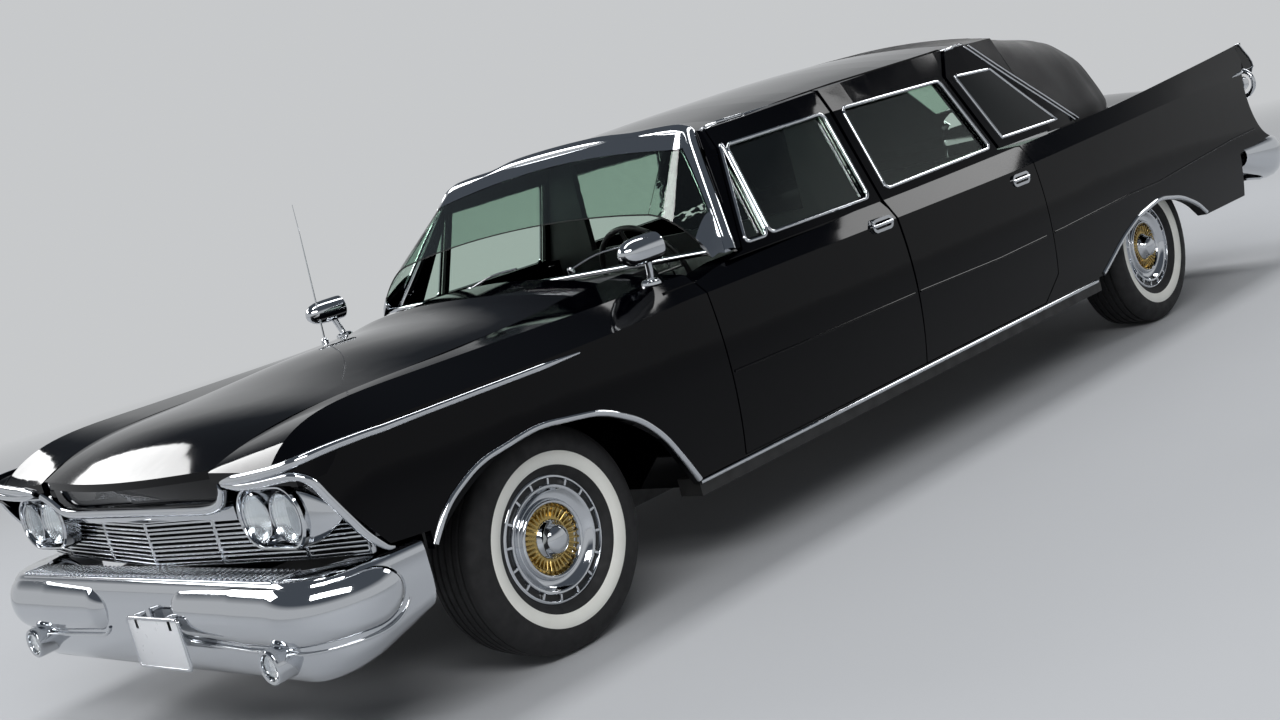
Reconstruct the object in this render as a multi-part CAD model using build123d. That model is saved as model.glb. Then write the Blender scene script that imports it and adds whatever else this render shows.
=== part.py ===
from build123d import *
import math
import os

# Late 1950s finned limousine, in millimetres.
# The front faces -Y, the left side is +X, and the wheels stand on Z = 0.

# Overall sizes
wheelbase = 3797.0
front_overhang = 935.0
rear_overhang = 1483.0
front_wheel_inset = 108.8
rear_wheel_inset = 94.6
shut_gap = 6.0
seat_gap = 0.3

# Wheels and tyres
tyre_radius = 346.0
tyre_width = 236.0
rim_radius = 190.0
rim_width = 178.0
cover_depth = 62.0
hub_radius = 52.0
cover_slots = 16
slot_bridge = 12.0
slot_depth = 8.0
turbine_blades = 34
blade_wall = 4.0
blade_depth = 8.0
kingpin_inset = 105.0

# Body walls
skin_wall = 30.0
door_wall = 100.0
frame_wall = 42.0
roof_wall = 34.0
top_wall = 24.0
quarter_wall = 44.0
glass_wall = 6.0
glass_inset = 16.0
sill_bottom = 285.0
sill_top = 342.0
sill_half_width = 968.0
sill_depth = 96.0
floor_bottom = 292.0
floor_wall = 16.0

# Door shut lines, aft of the front axle, with the rear pair ahead of the rear axle
door_front = 779.0
door_split = 1850.0
rear_door_back = -967.0
rear_frame_back = -1102.0
frame_gap = 22.0
section_pitch = 430.0
cabin_pitch = 190.0
door_axis_x = 1012.0
door_top_inner = 722.0
bevel_start = 32.0
bevel_end = 124.0
bevel_depth = 38.0

y_front = front_overhang - (front_overhang + wheelbase + rear_overhang) / 2
y_rear = y_front + wheelbase
y_nose = y_front - front_overhang
y_tail = y_rear + rear_overhang
AXLES = {"front": y_front, "rear": y_rear}
SIDES = (("left", 1), ("right", -1))

# Body side, from the nose to the tail. Columns: the axle that a place is counted from, its
# distance behind that axle, then x and z of the sill, the waist, the shoulder, the ridge
# and the inner edge of the top, and z on the centre line.
SIDE = (
    ("front", -835, 955, 300, 988, 600, 968, 818, 850, 842, 540, 852, 868),
    ("front", -700, 968, 300, 1003, 600, 992, 868, 832, 928, 570, 900, 935),
    ("front", -480, 975, 300, 1010, 600, 998, 886, 826, 958, 600, 935, 972),
    ("front", 187, 978, 300, 1012, 600, 1000, 880, 852, 958, 620, 958, 1022),
    ("front", 779, 968, 300, 1010, 600, 992, 892, 915, 962, 640, 1000, 1062),
    ("front", 1850, 960, 300, 1008, 600, 990, 898, 944, 970, 700, 1010, 1070),
    ("rear", -1150, 960, 300, 1008, 610, 992, 905, 946, 985, 780, 995, 1075),
    ("rear", -280, 962, 300, 1006, 630, 994, 930, 950, 1010, 800, 1000, 1075),
    ("rear", 500, 962, 300, 1003, 660, 985, 950, 946, 1052, 800, 985, 1062),
    ("rear", 1150, 958, 300, 1000, 678, 968, 940, 930, 1090, 800, 930, 985),
    ("rear", 1275, 957, 300, 998, 680, 964, 940, 926, 1098, 800, 915, 965),
)

# Greenhouse, from the windscreen to the rear. Columns: axle, distance behind it, then x and z
# of the belt, the window head and the roof cut line, and z of the crown.
GREENHOUSE = (
    ("front", 900, 945, 962, 800, 1318, 735, 1388, 1440),
    ("front", 1233, 945, 964, 802, 1320, 738, 1392, 1452),
    ("front", 1850, 942, 970, 808, 1330, 762, 1418, 1492),
    ("rear", -1150, 945, 985, 808, 1330, 765, 1444, 1524),
    ("rear", -600, 942, 1008, 800, 1325, 750, 1440, 1528),
    ("rear", -250, 905, 1022, 790, 1320, 700, 1425, 1520),
    ("rear", -20, 830, 1020, 720, 1270, 610, 1385, 1482),
    ("rear", 250, 700, 1040, 610, 1225, 470, 1340, 1412),
    ("rear", 620, 470, 1050, 410, 1100, 290, 1150, 1175),
)


def at(axle, distance):
    """The y of a place counted back from an axle."""
    return AXLES[axle] + distance


def slope_at(places, heights, k):
    """The slope at point k of a smooth curve that never overshoots its points."""
    chords = [(heights[j + 1] - heights[j]) / (places[j + 1] - places[j]) for j in range(len(places) - 1)]
    if k in (0, len(chords)):
        return chords[min(k, len(chords) - 1)]
    before, after = chords[k - 1], chords[k]
    return 0.0 if before * after <= 0 else 2 * before * after / (before + after)


def between(table, y):
    """The measures of a table at y, on smooth curves through its rows."""
    places = [at(row[0], row[1]) for row in table]
    i = min(max(sum(1 for place in places if place <= y) - 1, 0), len(places) - 2)
    span = places[i + 1] - places[i]
    s = (y - places[i]) / span
    t = 1 - s
    values = []
    for column in range(2, len(table[0])):
        heights = [row[column] for row in table]
        a, b = heights[i], heights[i + 1]
        p, q = slope_at(places, heights, i), slope_at(places, heights, i + 1)
        if s < 0:
            values.append(a + p * s * span)
        elif s > 1:
            values.append(b - q * t * span)
        else:
            values.append(a * (1 + 2 * s) * t * t + b * (3 - 2 * s) * s * s + span * s * t * (p * t - q * s))
    return values


def stretch(table, y0, y1, pitch):
    """The places at which a loft from y0 to y1 takes its sections, no further apart than a pitch."""
    marks = [at(row[0], row[1]) for row in table]
    marks = [y0] + [y for y in marks if y0 + 40 < y < y1 - 40] + [y1]
    places = [y0]
    for a, b in zip(marks, marks[1:]):
        steps = math.ceil((b - a) / pitch)
        places += [a + (b - a) * (i + 1) / steps for i in range(steps)]
    return places


# The wheels stand a fixed way inside the widest line of the body side
front_track = 2 * (between(SIDE, y_front)[2] - front_wheel_inset) - tyre_width
rear_track = 2 * (between(SIDE, y_rear)[2] - rear_wheel_inset) - tyre_width


def outline(*points):
    """A closed flat wire round its points; a triple of points is an arc through the middle."""
    edges = []
    last = None
    for point in points:
        if isinstance(point, tuple) and len(point) == 2 and isinstance(point[0], tuple):
            edges.append(ThreePointArc(last, point[0], point[1]))
            last = point[1]
        else:
            if last is not None:
                edges.append(Line(last, point))
            last = point
    first = edges[0] @ 0
    edges.append(Line(last, first))
    return Wire(edges)


def prism_x(points, x0, x1):
    """A side view outline of (y, z) points, run from x0 to x1."""
    return extrude(Face(Wire.make_polygon([(x0, y, z) for y, z in points], close=True)),
                   amount=x1 - x0, dir=(1, 0, 0))


def prism_z(points, z0, z1):
    """A plan outline of (x, y) points, run from z0 to z1."""
    return extrude(Face(Wire.make_polygon([(x, y, z0) for x, y in points], close=True)),
                   amount=z1 - z0, dir=(0, 0, 1))


def block(x0, x1, y0, y1, z0, z1):
    """A plain block between its lowest and highest corners."""
    return Pos((x0 + x1) / 2, (y0 + y1) / 2, (z0 + z1) / 2) * Box(x1 - x0, y1 - y0, z1 - z0)


def mirrored(shape):
    """The same piece on the right side."""
    return mirror(shape, about=Plane.YZ)


def solid(shape):
    """The solids of a shape as one part."""
    parts = shape.solids()
    return parts[0] if len(parts) == 1 else Compound(children=list(parts))


def largest(shape):
    """The biggest solid of a shape, without the scraps of a cut."""
    return max(shape.solids(), key=lambda piece: abs(piece.volume))


def rod(start, end, radius):
    """A round bar from one point to another."""
    axis = Vector(end) - Vector(start)
    return Solid.make_cylinder(radius, axis.length, Plane(origin=start, z_dir=axis))


def side_section(y, wall):
    """The skin's section: sill, bulged side, shoulder, ridge and top, with a constant wall."""
    sx, sz, wx, wz, hx, hz, rx, rz, tx, tz, _ = between(SIDE, y)
    return outline(
        (sx, y, sz), ((wx, y, wz), (hx, y, hz)), (rx, y, rz), (tx, y, tz),
        (tx, y, tz - wall), (rx - wall / 2, y, rz - 1.2 * wall), (hx - wall, y, hz - wall / 2),
        ((wx - wall, y, wz), (sx - wall, y, sz)))


def door_section(y, wall):
    """A door's section below the belt, flat inside."""
    sx, sz, wx, wz, hx, hz, rx, rz, _, _, _ = between(SIDE, y)
    return outline(
        (sx, y, sz), ((wx, y, wz), (hx, y, hz)), (rx, y, rz), (rx - wall, y, rz), (sx - wall, y, sz))


def door_inner_x(y, z):
    """The flat inner face of a closed door."""
    sx, sz, _, _, _, _, rx, rz, _, _, _ = between(SIDE, y)
    return sx + (rx - sx) * (z - sz) / (rz - sz) - door_wall


def side_skin(y0, y1, wall, section):
    """One length of the left side."""
    return Solid.make_loft([section(y, wall) for y in stretch(SIDE, y0, y1, section_pitch)])


def top_section(y, wall, inset):
    """The section of a crowned top panel between the two inner edges of the sides."""
    values = between(SIDE, y)
    tx, tz, cz = values[8] - inset, values[9], values[10]
    return outline(
        (-tx, y, tz), ((0, y, cz), (tx, y, tz)), (tx, y, tz - wall), ((0, y, cz - wall), (-tx, y, tz - wall)))


def top_skin(y0, y1, wall, inset):
    """One length of the crowned top."""
    return Solid.make_loft([top_section(y, wall, inset) for y in stretch(SIDE, y0, y1, section_pitch)])


def cabin_section(y, inset):
    """The greenhouse's section, drawn in by an inset on every side but the floor."""
    bx, bz, hx, hz, cx, cz, crown = between(GREENHOUSE, y)
    k = inset
    return outline(
        (bx - k, y, bz - 60), (bx - k, y, bz), (hx - k, y, hz), (cx - 0.8 * k, y, cz - 0.7 * k),
        ((0, y, crown - k), (-cx + 0.8 * k, y, cz - 0.7 * k)), (-hx + k, y, hz), (-bx + k, y, bz),
        (-bx + k, y, bz - 60))


def cabin_form(inset, ahead, behind):
    """The greenhouse as a filled form, drawn in by an inset."""
    y0 = at("front", 900) + ahead
    y1 = at("rear", 620) - behind
    places = stretch(GREENHOUSE, y0, y1, cabin_pitch)
    return Solid.make_loft([cabin_section(y, inset) for y in places], ruled=True)


def offset_outline(points, by):
    """An outline with each side moved outwards by its own distance, or all by one."""
    count = len(points)
    moves = by if isinstance(by, (tuple, list)) else [by] * count
    area = sum(points[i][0] * points[(i + 1) % count][1] - points[(i + 1) % count][0] * points[i][1]
               for i in range(count))
    turn = 1 if area > 0 else -1
    sides = []
    for i in range(count):
        start, end = Vector(*points[i]), Vector(*points[(i + 1) % count])
        along = (end - start).normalized()
        sides.append((start + Vector(along.Y, -along.X) * turn * moves[i], along))
    result = []
    for i in range(count):
        (p, u), (q, v) = sides[i - 1], sides[i]
        reach = ((q.X - p.X) * v.Y - (q.Y - p.Y) * v.X) / (u.X * v.Y - u.Y * v.X)
        result.append((p.X + u.X * reach, p.Y + u.Y * reach))
    return result


# Door openings in side view as (y, z) points, and how far each side of a door stands off
belt = 966.0
front_opening = (
    (at("front", door_front - shut_gap), sill_top), (at("front", door_front - shut_gap), 936),
    (at("front", 1000), 972), (at("front", 1046), 981), (at("front", 1232), 1392),
    (at("front", 1256), 1406), (at("front", door_split + 10), 1428), (at("front", door_split), belt),
    (at("front", door_split - 4), sill_top))
front_stand_off = (shut_gap, shut_gap, shut_gap, shut_gap, shut_gap, shut_gap, frame_gap / 2,
                   shut_gap / 2, shut_gap)
rear_opening = (
    (at("front", door_split - 4), sill_top), (at("front", door_split), belt),
    (at("front", door_split + 10), 1430), (at("rear", rear_frame_back + 50), 1452),
    (at("rear", rear_frame_back - 52), 1336), (at("rear", rear_frame_back + 8), 1006),
    (at("rear", rear_door_back + shut_gap), 990), (at("rear", rear_door_back + shut_gap), 440),
    (at("rear", rear_door_back - 108), sill_top))
rear_stand_off = (shut_gap / 2, frame_gap / 2, shut_gap, frame_gap, frame_gap, shut_gap, shut_gap,
                  shut_gap, shut_gap)
front_door_outline = offset_outline(front_opening, [-gap for gap in front_stand_off])
rear_door_outline = offset_outline(rear_opening, [-gap for gap in rear_stand_off])
window_outlines = {
    "vent": ((at("front", 1084), 1000), (at("front", 1198), 1000), (at("front", 1232), 1318),
             (at("front", 1222), 1318)),
    "front": ((at("front", 1222), 1000), (at("front", 1790), 1000), (at("front", 1800), 1330),
              (at("front", 1256), 1318)),
    "rear": ((at("front", 1918), 1008), (at("rear", -1158), 1022), (at("rear", -1222), 1326),
             (at("front", 1930), 1330)),
    "quarter": ((at("rear", -1040), 1046), (at("rear", -700), 1062), (at("rear", -820), 1312),
                (at("rear", -1096), 1326)),
}


def front_arch():
    """The round opening over a front wheel, as a cutter."""
    y = y_front
    wire = outline(
        (700, y - 520, 100), (700, y - 520, 500), ((700, y - 50, 702), (700, y + 410, 520)),
        (700, y + 542, 326), (700, y + 542, 100))
    return extrude(Face(wire), amount=400, dir=(1, 0, 0))


def rear_arch():
    """The low opening over a rear wheel, with the level edge behind it, as a cutter."""
    y = y_rear
    wire = outline(
        (700, y - 620, 100), (700, y - 620, 305), (700, y - 400, 445),
        ((700, y - 20, 545), (700, y + 340, 445)), (700, y + 430, 384), (700, y + 860, 384),
        (700, y + 860, 590), (700, y + 1300, 619), (700, y + 1300, 100))
    return extrude(Face(wire), amount=400, dir=(1, 0, 0))


below_doors = block(400, 1100, at("front", 540), at("rear", -400), 100, sill_top + seat_gap)


def fender():
    """The left front wing with its brow over the lamps."""
    skin = side_skin(at("front", -835), at("front", door_front - shut_gap), skin_wall, side_section)
    mouth = prism_x(((at("front", -900), 200), (at("front", -900), 800), (at("front", -815), 800),
                     (at("front", -640), 574), (at("front", -510), 562), (at("front", -510), 200)), 400, 1100)
    return skin - mouth - front_arch() - below_doors


# The tail in side view: the fin's tip, the notch under it, the hollow of the panel and its foot
fin_tip = (at("rear", 1272), 1098)
fin_notch = (at("rear", 1164), 983)
tail_hollow = (at("rear", 1078), 821)
tail_foot = (at("rear", 1224), 615)
tail_wall = 26.0


def tail_band(x0, x1, wall):
    """The hollow rear panel from x0 to x1: all behind its face, or a wall ahead of it."""
    (ty, tz), (ny, nz), (hy, hz), (fy, fz) = fin_tip, fin_notch, tail_hollow, tail_foot
    points = [(x0, ty, tz), (x0, ny, nz), ((x0, hy, hz), (x0, fy, fz))]
    if wall:
        points += [(x0, fy - wall, fz), ((x0, hy - wall, hz), (x0, ny - wall, nz)), (x0, ty - 1.6 * wall, tz)]
    else:
        points += [(x0, fy, 560), (x0, fy + 300, 560), (x0, fy + 300, 1200), (x0, ty, 1200)]
    return extrude(Face(outline(*points)), amount=x1 - x0, dir=(1, 0, 0))


def filled_section(y, inset):
    """The side's section filled up to the inner edge of its top, drawn in by an inset."""
    sx, sz, wx, wz, hx, hz, rx, rz, tx, tz, _ = between(SIDE, y)
    return outline((sx - inset, y, sz), ((wx - inset, y, wz), (hx - inset, y, hz)), (rx - inset, y, rz),
                   (tx, y, tz), (tx, y, sz))


def quarter():
    """The left rear quarter with its fin and the panel that closes its end."""
    skin = side_skin(at("rear", rear_frame_back - 40), at("rear", 1275), quarter_wall, side_section)
    cap = tail_band(700, 1100, tail_wall) & side_skin(at("rear", 1000), at("rear", 1275), 0, filled_section)
    whole = (skin - tail_band(700, 1100, 0)) + cap
    return largest(whole - rear_arch() - prism_x(rear_opening, 500, 1100) - below_doors)


outer_cabin = cabin_form(0, 0, 0)
shell = outer_cabin - cabin_form(roof_wall, -5, 40)
frame_shell = outer_cabin - cabin_form(frame_wall, -5, 40)
glass_skin = cabin_form(glass_inset, 0, 60) - cabin_form(glass_inset + glass_wall, -5, 50)


def cabin_door(points, windows):
    """A left door: the thick lower part, and on it the frame of its windows."""
    ys = [y for y, _ in points]
    low_back = max(y for y, z in points if z < 800)
    lower = side_skin(min(ys) - 4, max(ys) + 4, door_wall, door_section)
    bevel = prism_z(((door_axis_x - bevel_start, low_back + 12), (600, low_back + 12), (600, low_back - bevel_depth),
                     (door_axis_x - bevel_end, low_back - bevel_depth)), 0, 1100)
    upper = frame_shell & block(door_top_inner, 1100, min(ys) - 4, max(ys) + 4, belt - 6, 1500)
    upper = upper - Pos(0, 0, seat_gap) * lower - [prism_x(window_outlines[name], 500, 1100) for name in windows]
    cut = prism_x(points, door_top_inner, 1100)
    return Compound(children=[largest((lower - bevel) & cut), largest(upper & cut)])


def panes(names):
    """The left panes of the named windows."""
    solids = []
    for name in names:
        solids += (glass_skin & prism_x(offset_outline(window_outlines[name], -seat_gap), 500, 1100)).solids()
    return solids


def tyre(x, y):
    """A tyre with rounded shoulders, standing on the ground."""
    r, w = tyre_radius, tyre_width / 2
    bead = rim_radius + seat_gap
    wire = outline(
        (-w * 0.7, 0, bead), (-w * 0.97, 0, r - 98), ((-w, 0, r - 60), (-w * 0.74, 0, r - 8)),
        ((0, 0, r), (w * 0.74, 0, r - 8)), ((w, 0, r - 60), (w * 0.97, 0, r - 98)), (w * 0.7, 0, bead))
    return Pos(x, y, tyre_radius) * revolve(Face(wire), Axis((0, 0, 0), (1, 0, 0)), 360)


def wheel_disc():
    """A pressed steel wheel with its slotted cover, turbine ring and coned hub, facing +X."""
    w = rim_width / 2
    r = rim_radius
    ring_outer, ring_inner = r - 8, r - 30
    well_outer, well_inner = 104.0, hub_radius + 8
    face = w - 4
    profile = Wire.make_polygon([
        (-w, 0, r - 14), (-w, 0, r), (w, 0, r), (w + 10, 0, ring_outer), (w + 4, 0, ring_inner),
        (w - 16, 0, 118), (face, 0, well_outer), (face, 0, well_inner), (w + 14, 0, hub_radius),
        (w + cover_depth - 12, 0, 18), (w + cover_depth, 0, 12), (w + cover_depth, 0, 0), (w - 44, 0, 0),
        (w - 44, 0, 118), (w - 60, 0, r - 14)], close=True)
    disc = revolve(Face(profile), Axis((0, 0, 0), (1, 0, 0)), 360)
    middle = (ring_outer + ring_inner) / 2
    slot_run = 2 * math.pi * middle / cover_slots - slot_bridge
    slot = Pos(w + 12 - slot_depth, 0, middle) * Box(2 * slot_depth, slot_run, (ring_outer - ring_inner) * 0.7)
    disc -= [Rot(360 * i / cover_slots, 0, 0) * slot for i in range(cover_slots)]
    blade = Pos(face, 0, (well_outer + well_inner) / 2) * Box(2 * blade_depth, blade_wall, well_outer - well_inner - 4)
    disc += [Rot(360 * i / turbine_blades, 0, 0) * blade for i in range(turbine_blades)]
    return disc


parts = {}

# Wheels and tyres
left_disc = wheel_disc()
discs = {1: left_disc, -1: mirrored(left_disc)}
for name, side in SIDES:
    for row, y, track in (("front", y_front, front_track), ("rear", y_rear, rear_track)):
        parts[f"tyre_{row}_{name}"] = tyre(side * track / 2, y)
        parts[f"wheel_{row}_{name}"] = Pos(side * track / 2, y, tyre_radius) * discs[side]

# Chassis frame
rail_half = 420.0
rail_width = 90.0
rail_bottom = 200.0
rail_top = floor_bottom - seat_gap
rail_out = rail_half + rail_width / 2
rail_in = rail_half - rail_width / 2


def frame_rail(side):
    """A box rail: up over the front crossmember, low under the cabin, up over the rear axle."""
    x0 = side * rail_half - rail_width / 2
    points = (
        (at("front", -700), 430), (at("front", -700), 520), (at("front", 260), 520),
        (at("front", 600), rail_top), (at("rear", -650), rail_top), (at("rear", -350), 560),
        (at("rear", 300), 560), (at("rear", 700), 500), (at("rear", 1290), 500),
        (at("rear", 1290), 410), (at("rear", 660), 410), (at("rear", 260), 470),
        (at("rear", -310), 470), (at("rear", -620), rail_bottom), (at("front", 560), rail_bottom),
        (at("front", 220), 430))
    return prism_x(points, x0, x0 + rail_width)


rails = frame_rail(1) + frame_rail(-1)
# Columns: axle, distance behind it, lowest and highest z of each crossmember
crossmember_bottom = 242.0
for axle, distance, z0, z1 in (("front", -640, 440, 510), ("front", 900, crossmember_bottom, rail_top),
                               ("rear", -1300, crossmember_bottom, rail_top), ("rear", 1000, 420, 490)):
    y = at(axle, distance)
    rails += block(-rail_half, rail_half, y - 50, y + 50, z0, z1)
rails += block(-rail_half, rail_half, y_front - 110, y_front + 110, 250, 380)
for _, side in SIDES:
    rails += block(side * rail_half - 45, side * rail_half + 45, y_front - 110, y_front + 110, 250, 440)
parts["chassis_frame"] = rails

# Front suspension and knuckles
pivot_x = front_track / 2 - kingpin_inset
arm_inner = rail_out + seat_gap
wheel_face = front_track / 2 + rim_width / 2 - 44
arms = []
for _, side in SIDES:
    for z in (226, 440):
        lo, hi = sorted((side * arm_inner, side * (pivot_x + 34)))
        arms.append(block(lo, hi, y_front - 60, y_front + 60, z, z + 22))
parts["front_suspension"] = Compound(children=[solid(arm) for arm in arms])
for name, side in SIDES:
    lo, hi = sorted((side * (pivot_x - 26), side * (pivot_x + 26)))
    upright = block(lo, hi, y_front - 34, y_front + 34, 248 + seat_gap, 440 - seat_gap)
    stub = rod((side * pivot_x, y_front, tyre_radius), (side * (wheel_face - seat_gap), y_front, tyre_radius), 34)
    parts[f"knuckle_{name}"] = upright + stub

# Rear axle on its leaf springs
spring_x = rail_out + 44
rear_face = rear_track / 2 + rim_width / 2 - 44
axle_tube = rod((-rear_face + seat_gap, y_rear, tyre_radius), (rear_face - seat_gap, y_rear, tyre_radius), 42)
axle_body = axle_tube + Pos(0, y_rear, tyre_radius) * Cylinder(130, 180, rotation=(90, 0, 0))
for _, side in SIDES:
    lo, hi = sorted((side * (spring_x - 30), side * (spring_x + 30)))
    axle_body += block(lo, hi, y_rear - 620, y_rear + 640, 284, 306)
    lo, hi = sorted((side * (rail_out + seat_gap), side * (spring_x + 30)))
    axle_body += rod((lo, y_rear - 590, 290), (hi, y_rear - 590, 290), 24)
    lo, hi = sorted((side * (rail_out + seat_gap), side * (rail_out + 14)))
    axle_body += block(lo, side * (rail_out + 14) if side > 0 else hi, y_rear + 590, y_rear + 640, 284, 470)
parts["rear_axle"] = axle_body

# Engine, driveline, fuel tank, exhaust and radiator
engine_back = at("front", 520)
engine_front = at("front", -200)
engine_middle = (engine_front + engine_back) / 2
bank_turn = 45
air_cleaner_radius = 190.0
engine = block(-170, 170, engine_front, engine_back, 420, 690)
engine += block(-rail_in + seat_gap, rail_in - seat_gap, y_front + 20, y_front + 110, 440, 500)
for _, side in SIDES:
    bank = Pos(0, 0, 120) * Box(170, 600, 260) + Pos(0, 0, 262) * Box(110, 560, 46)
    engine += Pos(side * 26, engine_middle, 520) * Rot(0, side * bank_turn, 0) * bank
engine += block(-90, 90, engine_front + 60, engine_back - 60, 660, 770)
engine += Pos(0, engine_middle - 60, 800) * Cylinder(60, 80)
engine += Pos(0, engine_middle - 60, 862) * Cylinder(air_cleaner_radius, 74)
parts["engine"] = engine
gearbox = rod((0, engine_back - 30, 484), (0, at("front", 1250), 385), 108)
gearbox = gearbox - block(-200, 200, engine_back - 100, engine_back + seat_gap, 200, 800)
shaft = rod((0, at("front", 1240), 385), (0, y_rear - 80, 352), 36)
parts["driveline"] = (gearbox + shaft) - axle_body
parts["fuel_tank"] = block(-rail_in + seat_gap, rail_in - seat_gap, at("rear", 330), at("rear", 940), 300, 410)
pipe_radius = 26.0
pipe_z = crossmember_bottom - pipe_radius - seat_gap
pipes = []
for _, side in SIDES:
    x = side * 290
    pipe = rod((x, at("front", 560), pipe_z), (x, at("rear", -420), pipe_z), pipe_radius)
    pipe += rod((x, at("front", 1500), pipe_z + 18), (x, at("front", 2150), pipe_z + 18), 54)
    pipes.append(solid(pipe))
parts["exhaust"] = Compound(children=pipes)
parts["radiator"] = block(-rail_in + seat_gap, rail_in - seat_gap, at("front", -570), at("front", -500), 400, 800)

# Cabin floor with its tunnel, the slope up to the luggage floor, and the sills
floor_front = at("front", 640)
floor_back = at("rear", 1180)
floor_top = floor_bottom + floor_wall
sill_in = sill_half_width - sill_depth
tunnel_half = 150.0
trunk_floor = 580.0


def tunnel(half, drop):
    """The tunnel over the driveline, in side view."""
    return prism_x((
        (floor_front - 30 + drop, 200), (floor_front - 30 + drop, 640 - drop), (at("front", 1000), 600 - drop),
        (at("front", 1290), 545 - drop), (at("front", 1420), 444 - drop), (at("rear", -520), 434 - drop),
        (at("rear", -520), 200)), -half, half)


floor = block(-sill_in, sill_in, floor_front, at("rear", -660), floor_bottom, floor_top)
for _, side in SIDES:
    lo, hi = sorted((side * sill_in, side * sill_half_width))
    floor += block(lo, hi, at("front", 548), at("rear", -622), sill_bottom, sill_top)
slope = prism_x(((at("rear", -660), floor_bottom), (at("rear", -660), floor_top),
                 (at("rear", -352), trunk_floor + floor_wall), (floor_back, trunk_floor + floor_wall),
                 (floor_back, trunk_floor), (at("rear", -346), trunk_floor)), -640, 640)
tunnel_outer = tunnel(tunnel_half, 0) & block(-200, 200, floor_front, at("rear", -400), floor_bottom, 700)
floor = (floor + slope + tunnel_outer) - tunnel(tunnel_half - floor_wall, floor_wall)
parts["floor_pan"] = floor

# Front sheet metal
left_fender = fender()
parts["front_fenders"] = Compound(children=[solid(left_fender), solid(mirrored(left_fender))])


def hood_line(gap):
    """Everything ahead of the bonnet's bowed rear edge, as a cutter."""
    wire = outline(
        (-1000, at("front", -950), 700), (-1000, at("front", 620) + gap, 700),
        ((0, at("front", 470) + gap, 700), (1000, at("front", 620) + gap, 700)), (1000, at("front", -950), 700))
    return extrude(Face(wire), amount=600, dir=(0, 0, 1))


def hood_nose(gap):
    """Everything behind the bonnet's bowed leading edge, as a cutter."""
    wire = outline(
        (-640, at("front", -805) + gap, 600), ((0, at("front", -871) + gap, 600), (640, at("front", -805) + gap, 600)),
        (640, at("front", 900), 600), (-640, at("front", 900), 600))
    return extrude(Face(wire), amount=700, dir=(0, 0, 1))


hood = top_skin(at("front", -880), at("front", 700), top_wall, shut_gap) & hood_line(0) & hood_nose(0)
parts["hood"] = hood


def screen_ring(z, inset):
    """The windscreen's plan curve at a height: two tight corners and a bowed front."""
    share = (z - 985) / (1470 - 985)
    foot = ((938, 996), (915, 800), (770, 690), (0, 600))
    head = ((648, 1251), (636, 1243), (600, 1240), (0, 1228))
    (ax, ay), (bx, by), (cx, cy), (_, dy) = [
        (p[0] + (q[0] - p[0]) * share - inset * (0 if p[0] == 0 else 1), p[1] + (q[1] - p[1]) * share + inset)
        for p, q in zip(foot, head)]
    back = at("front", 1420)
    y = y_front
    return outline(
        (-ax, back, z), (-ax, y + ay, z), ((-bx, y + by, z), (-cx, y + cy, z)), ((0, y + dy, z), (cx, y + cy, z)),
        ((bx, y + by, z), (ax, y + ay, z)), (ax, back, z))


def screen_form(inset):
    """All that lies behind the windscreen's face, as a filled form."""
    return Solid.make_loft([screen_ring(900, inset), screen_ring(1470, inset)], ruled=True)


pillar_line = (
    (at("front", 300), 800), (at("front", 985), 800), (at("front", 1004), 985), (at("front", 1216), 1392),
    (at("front", 1233), 1600), (at("front", 300), 1600))
ahead_of_pillars = prism_x(pillar_line, -1100, 1100)
screen = screen_form(0)

cowl_front = top_skin(at("front", 400), at("front", 773), top_wall, seat_gap)
cowl_back = top_skin(at("front", 772), at("front", 1000), top_wall, -1)
shoulders = side_skin(at("front", door_front - shut_gap) + seat_gap, at("front", 1000), skin_wall, side_section)
shoulders = shoulders - prism_x(front_opening, 500, 1100) - block(0, 1100, at("front", 700), at("front", 1100), 0, 930)
cowl = cowl_front + cowl_back + shoulders + mirrored(shoulders)
cowl = cowl - hood_line(shut_gap) - screen - block(-925, 925, at("front", 960), at("front", 1100), 700, 1100)
firewall = block(-860, 860, at("front", 640) - 20, at("front", 640) - seat_gap, floor_bottom, 940)
firewall += block(-590, 590, at("front", 620), at("front", 640) - seat_gap, 930, 1000)
cowl = cowl + (firewall - tunnel(tunnel_half + seat_gap, -seat_gap))
# Hinge pillars with their leaves, and the pads that the bonnet rests on
filled_top = Pos(0, 0, -top_wall - seat_gap) * top_skin(at("front", -880), at("front", 700), 150, shut_gap)
for _, side in SIDES:
    lo, hi = sorted((side * 846, side * 950))
    pillar = block(lo, hi, at("front", 630), at("front", door_front - shut_gap), sill_top + seat_gap, 935)
    for z in (430, 800):
        leaf_lo, leaf_hi = sorted((side * 880, side * 930))
        pillar += block(leaf_lo, leaf_hi, at("front", 700), at("front", door_front) - seat_gap, z, z + 70)
    cowl += pillar
    lo, hi = sorted((side * 280, side * 330))
    cowl += block(lo, hi, at("front", 440), at("front", 625), 900, 1100) & filled_top
cowl = cowl - left_fender - mirrored(left_fender)
parts["cowl"] = cowl
screen_frame_width = 46.0
frame_under = 12.0
screen_room = prism_x(offset_outline(pillar_line, -seat_gap), -1100, 1100) & block(
    -1100, 1100, y_front, at("front", 1400), 986, 1600)
glass_room = prism_x(offset_outline(pillar_line, -screen_frame_width), -1100, 1100) & (
    Pos(0, 0, -screen_frame_width) * cabin_form(1, 0, 0))
windscreen = largest((screen_form(2) - screen_form(2 + glass_wall)) & screen_room & glass_room - cowl)
screen_frame = (screen - screen_form(frame_under)) & screen_room & cabin_form(1, 0, 0)
glass_seat = prism_x(offset_outline(pillar_line, seat_gap - screen_frame_width), -1100, 1100) & (
    Pos(0, 0, seat_gap - screen_frame_width) * cabin_form(1, 0, 0))
parts["windscreen_frame"] = largest(screen_frame - glass_seat - cowl)

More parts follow.
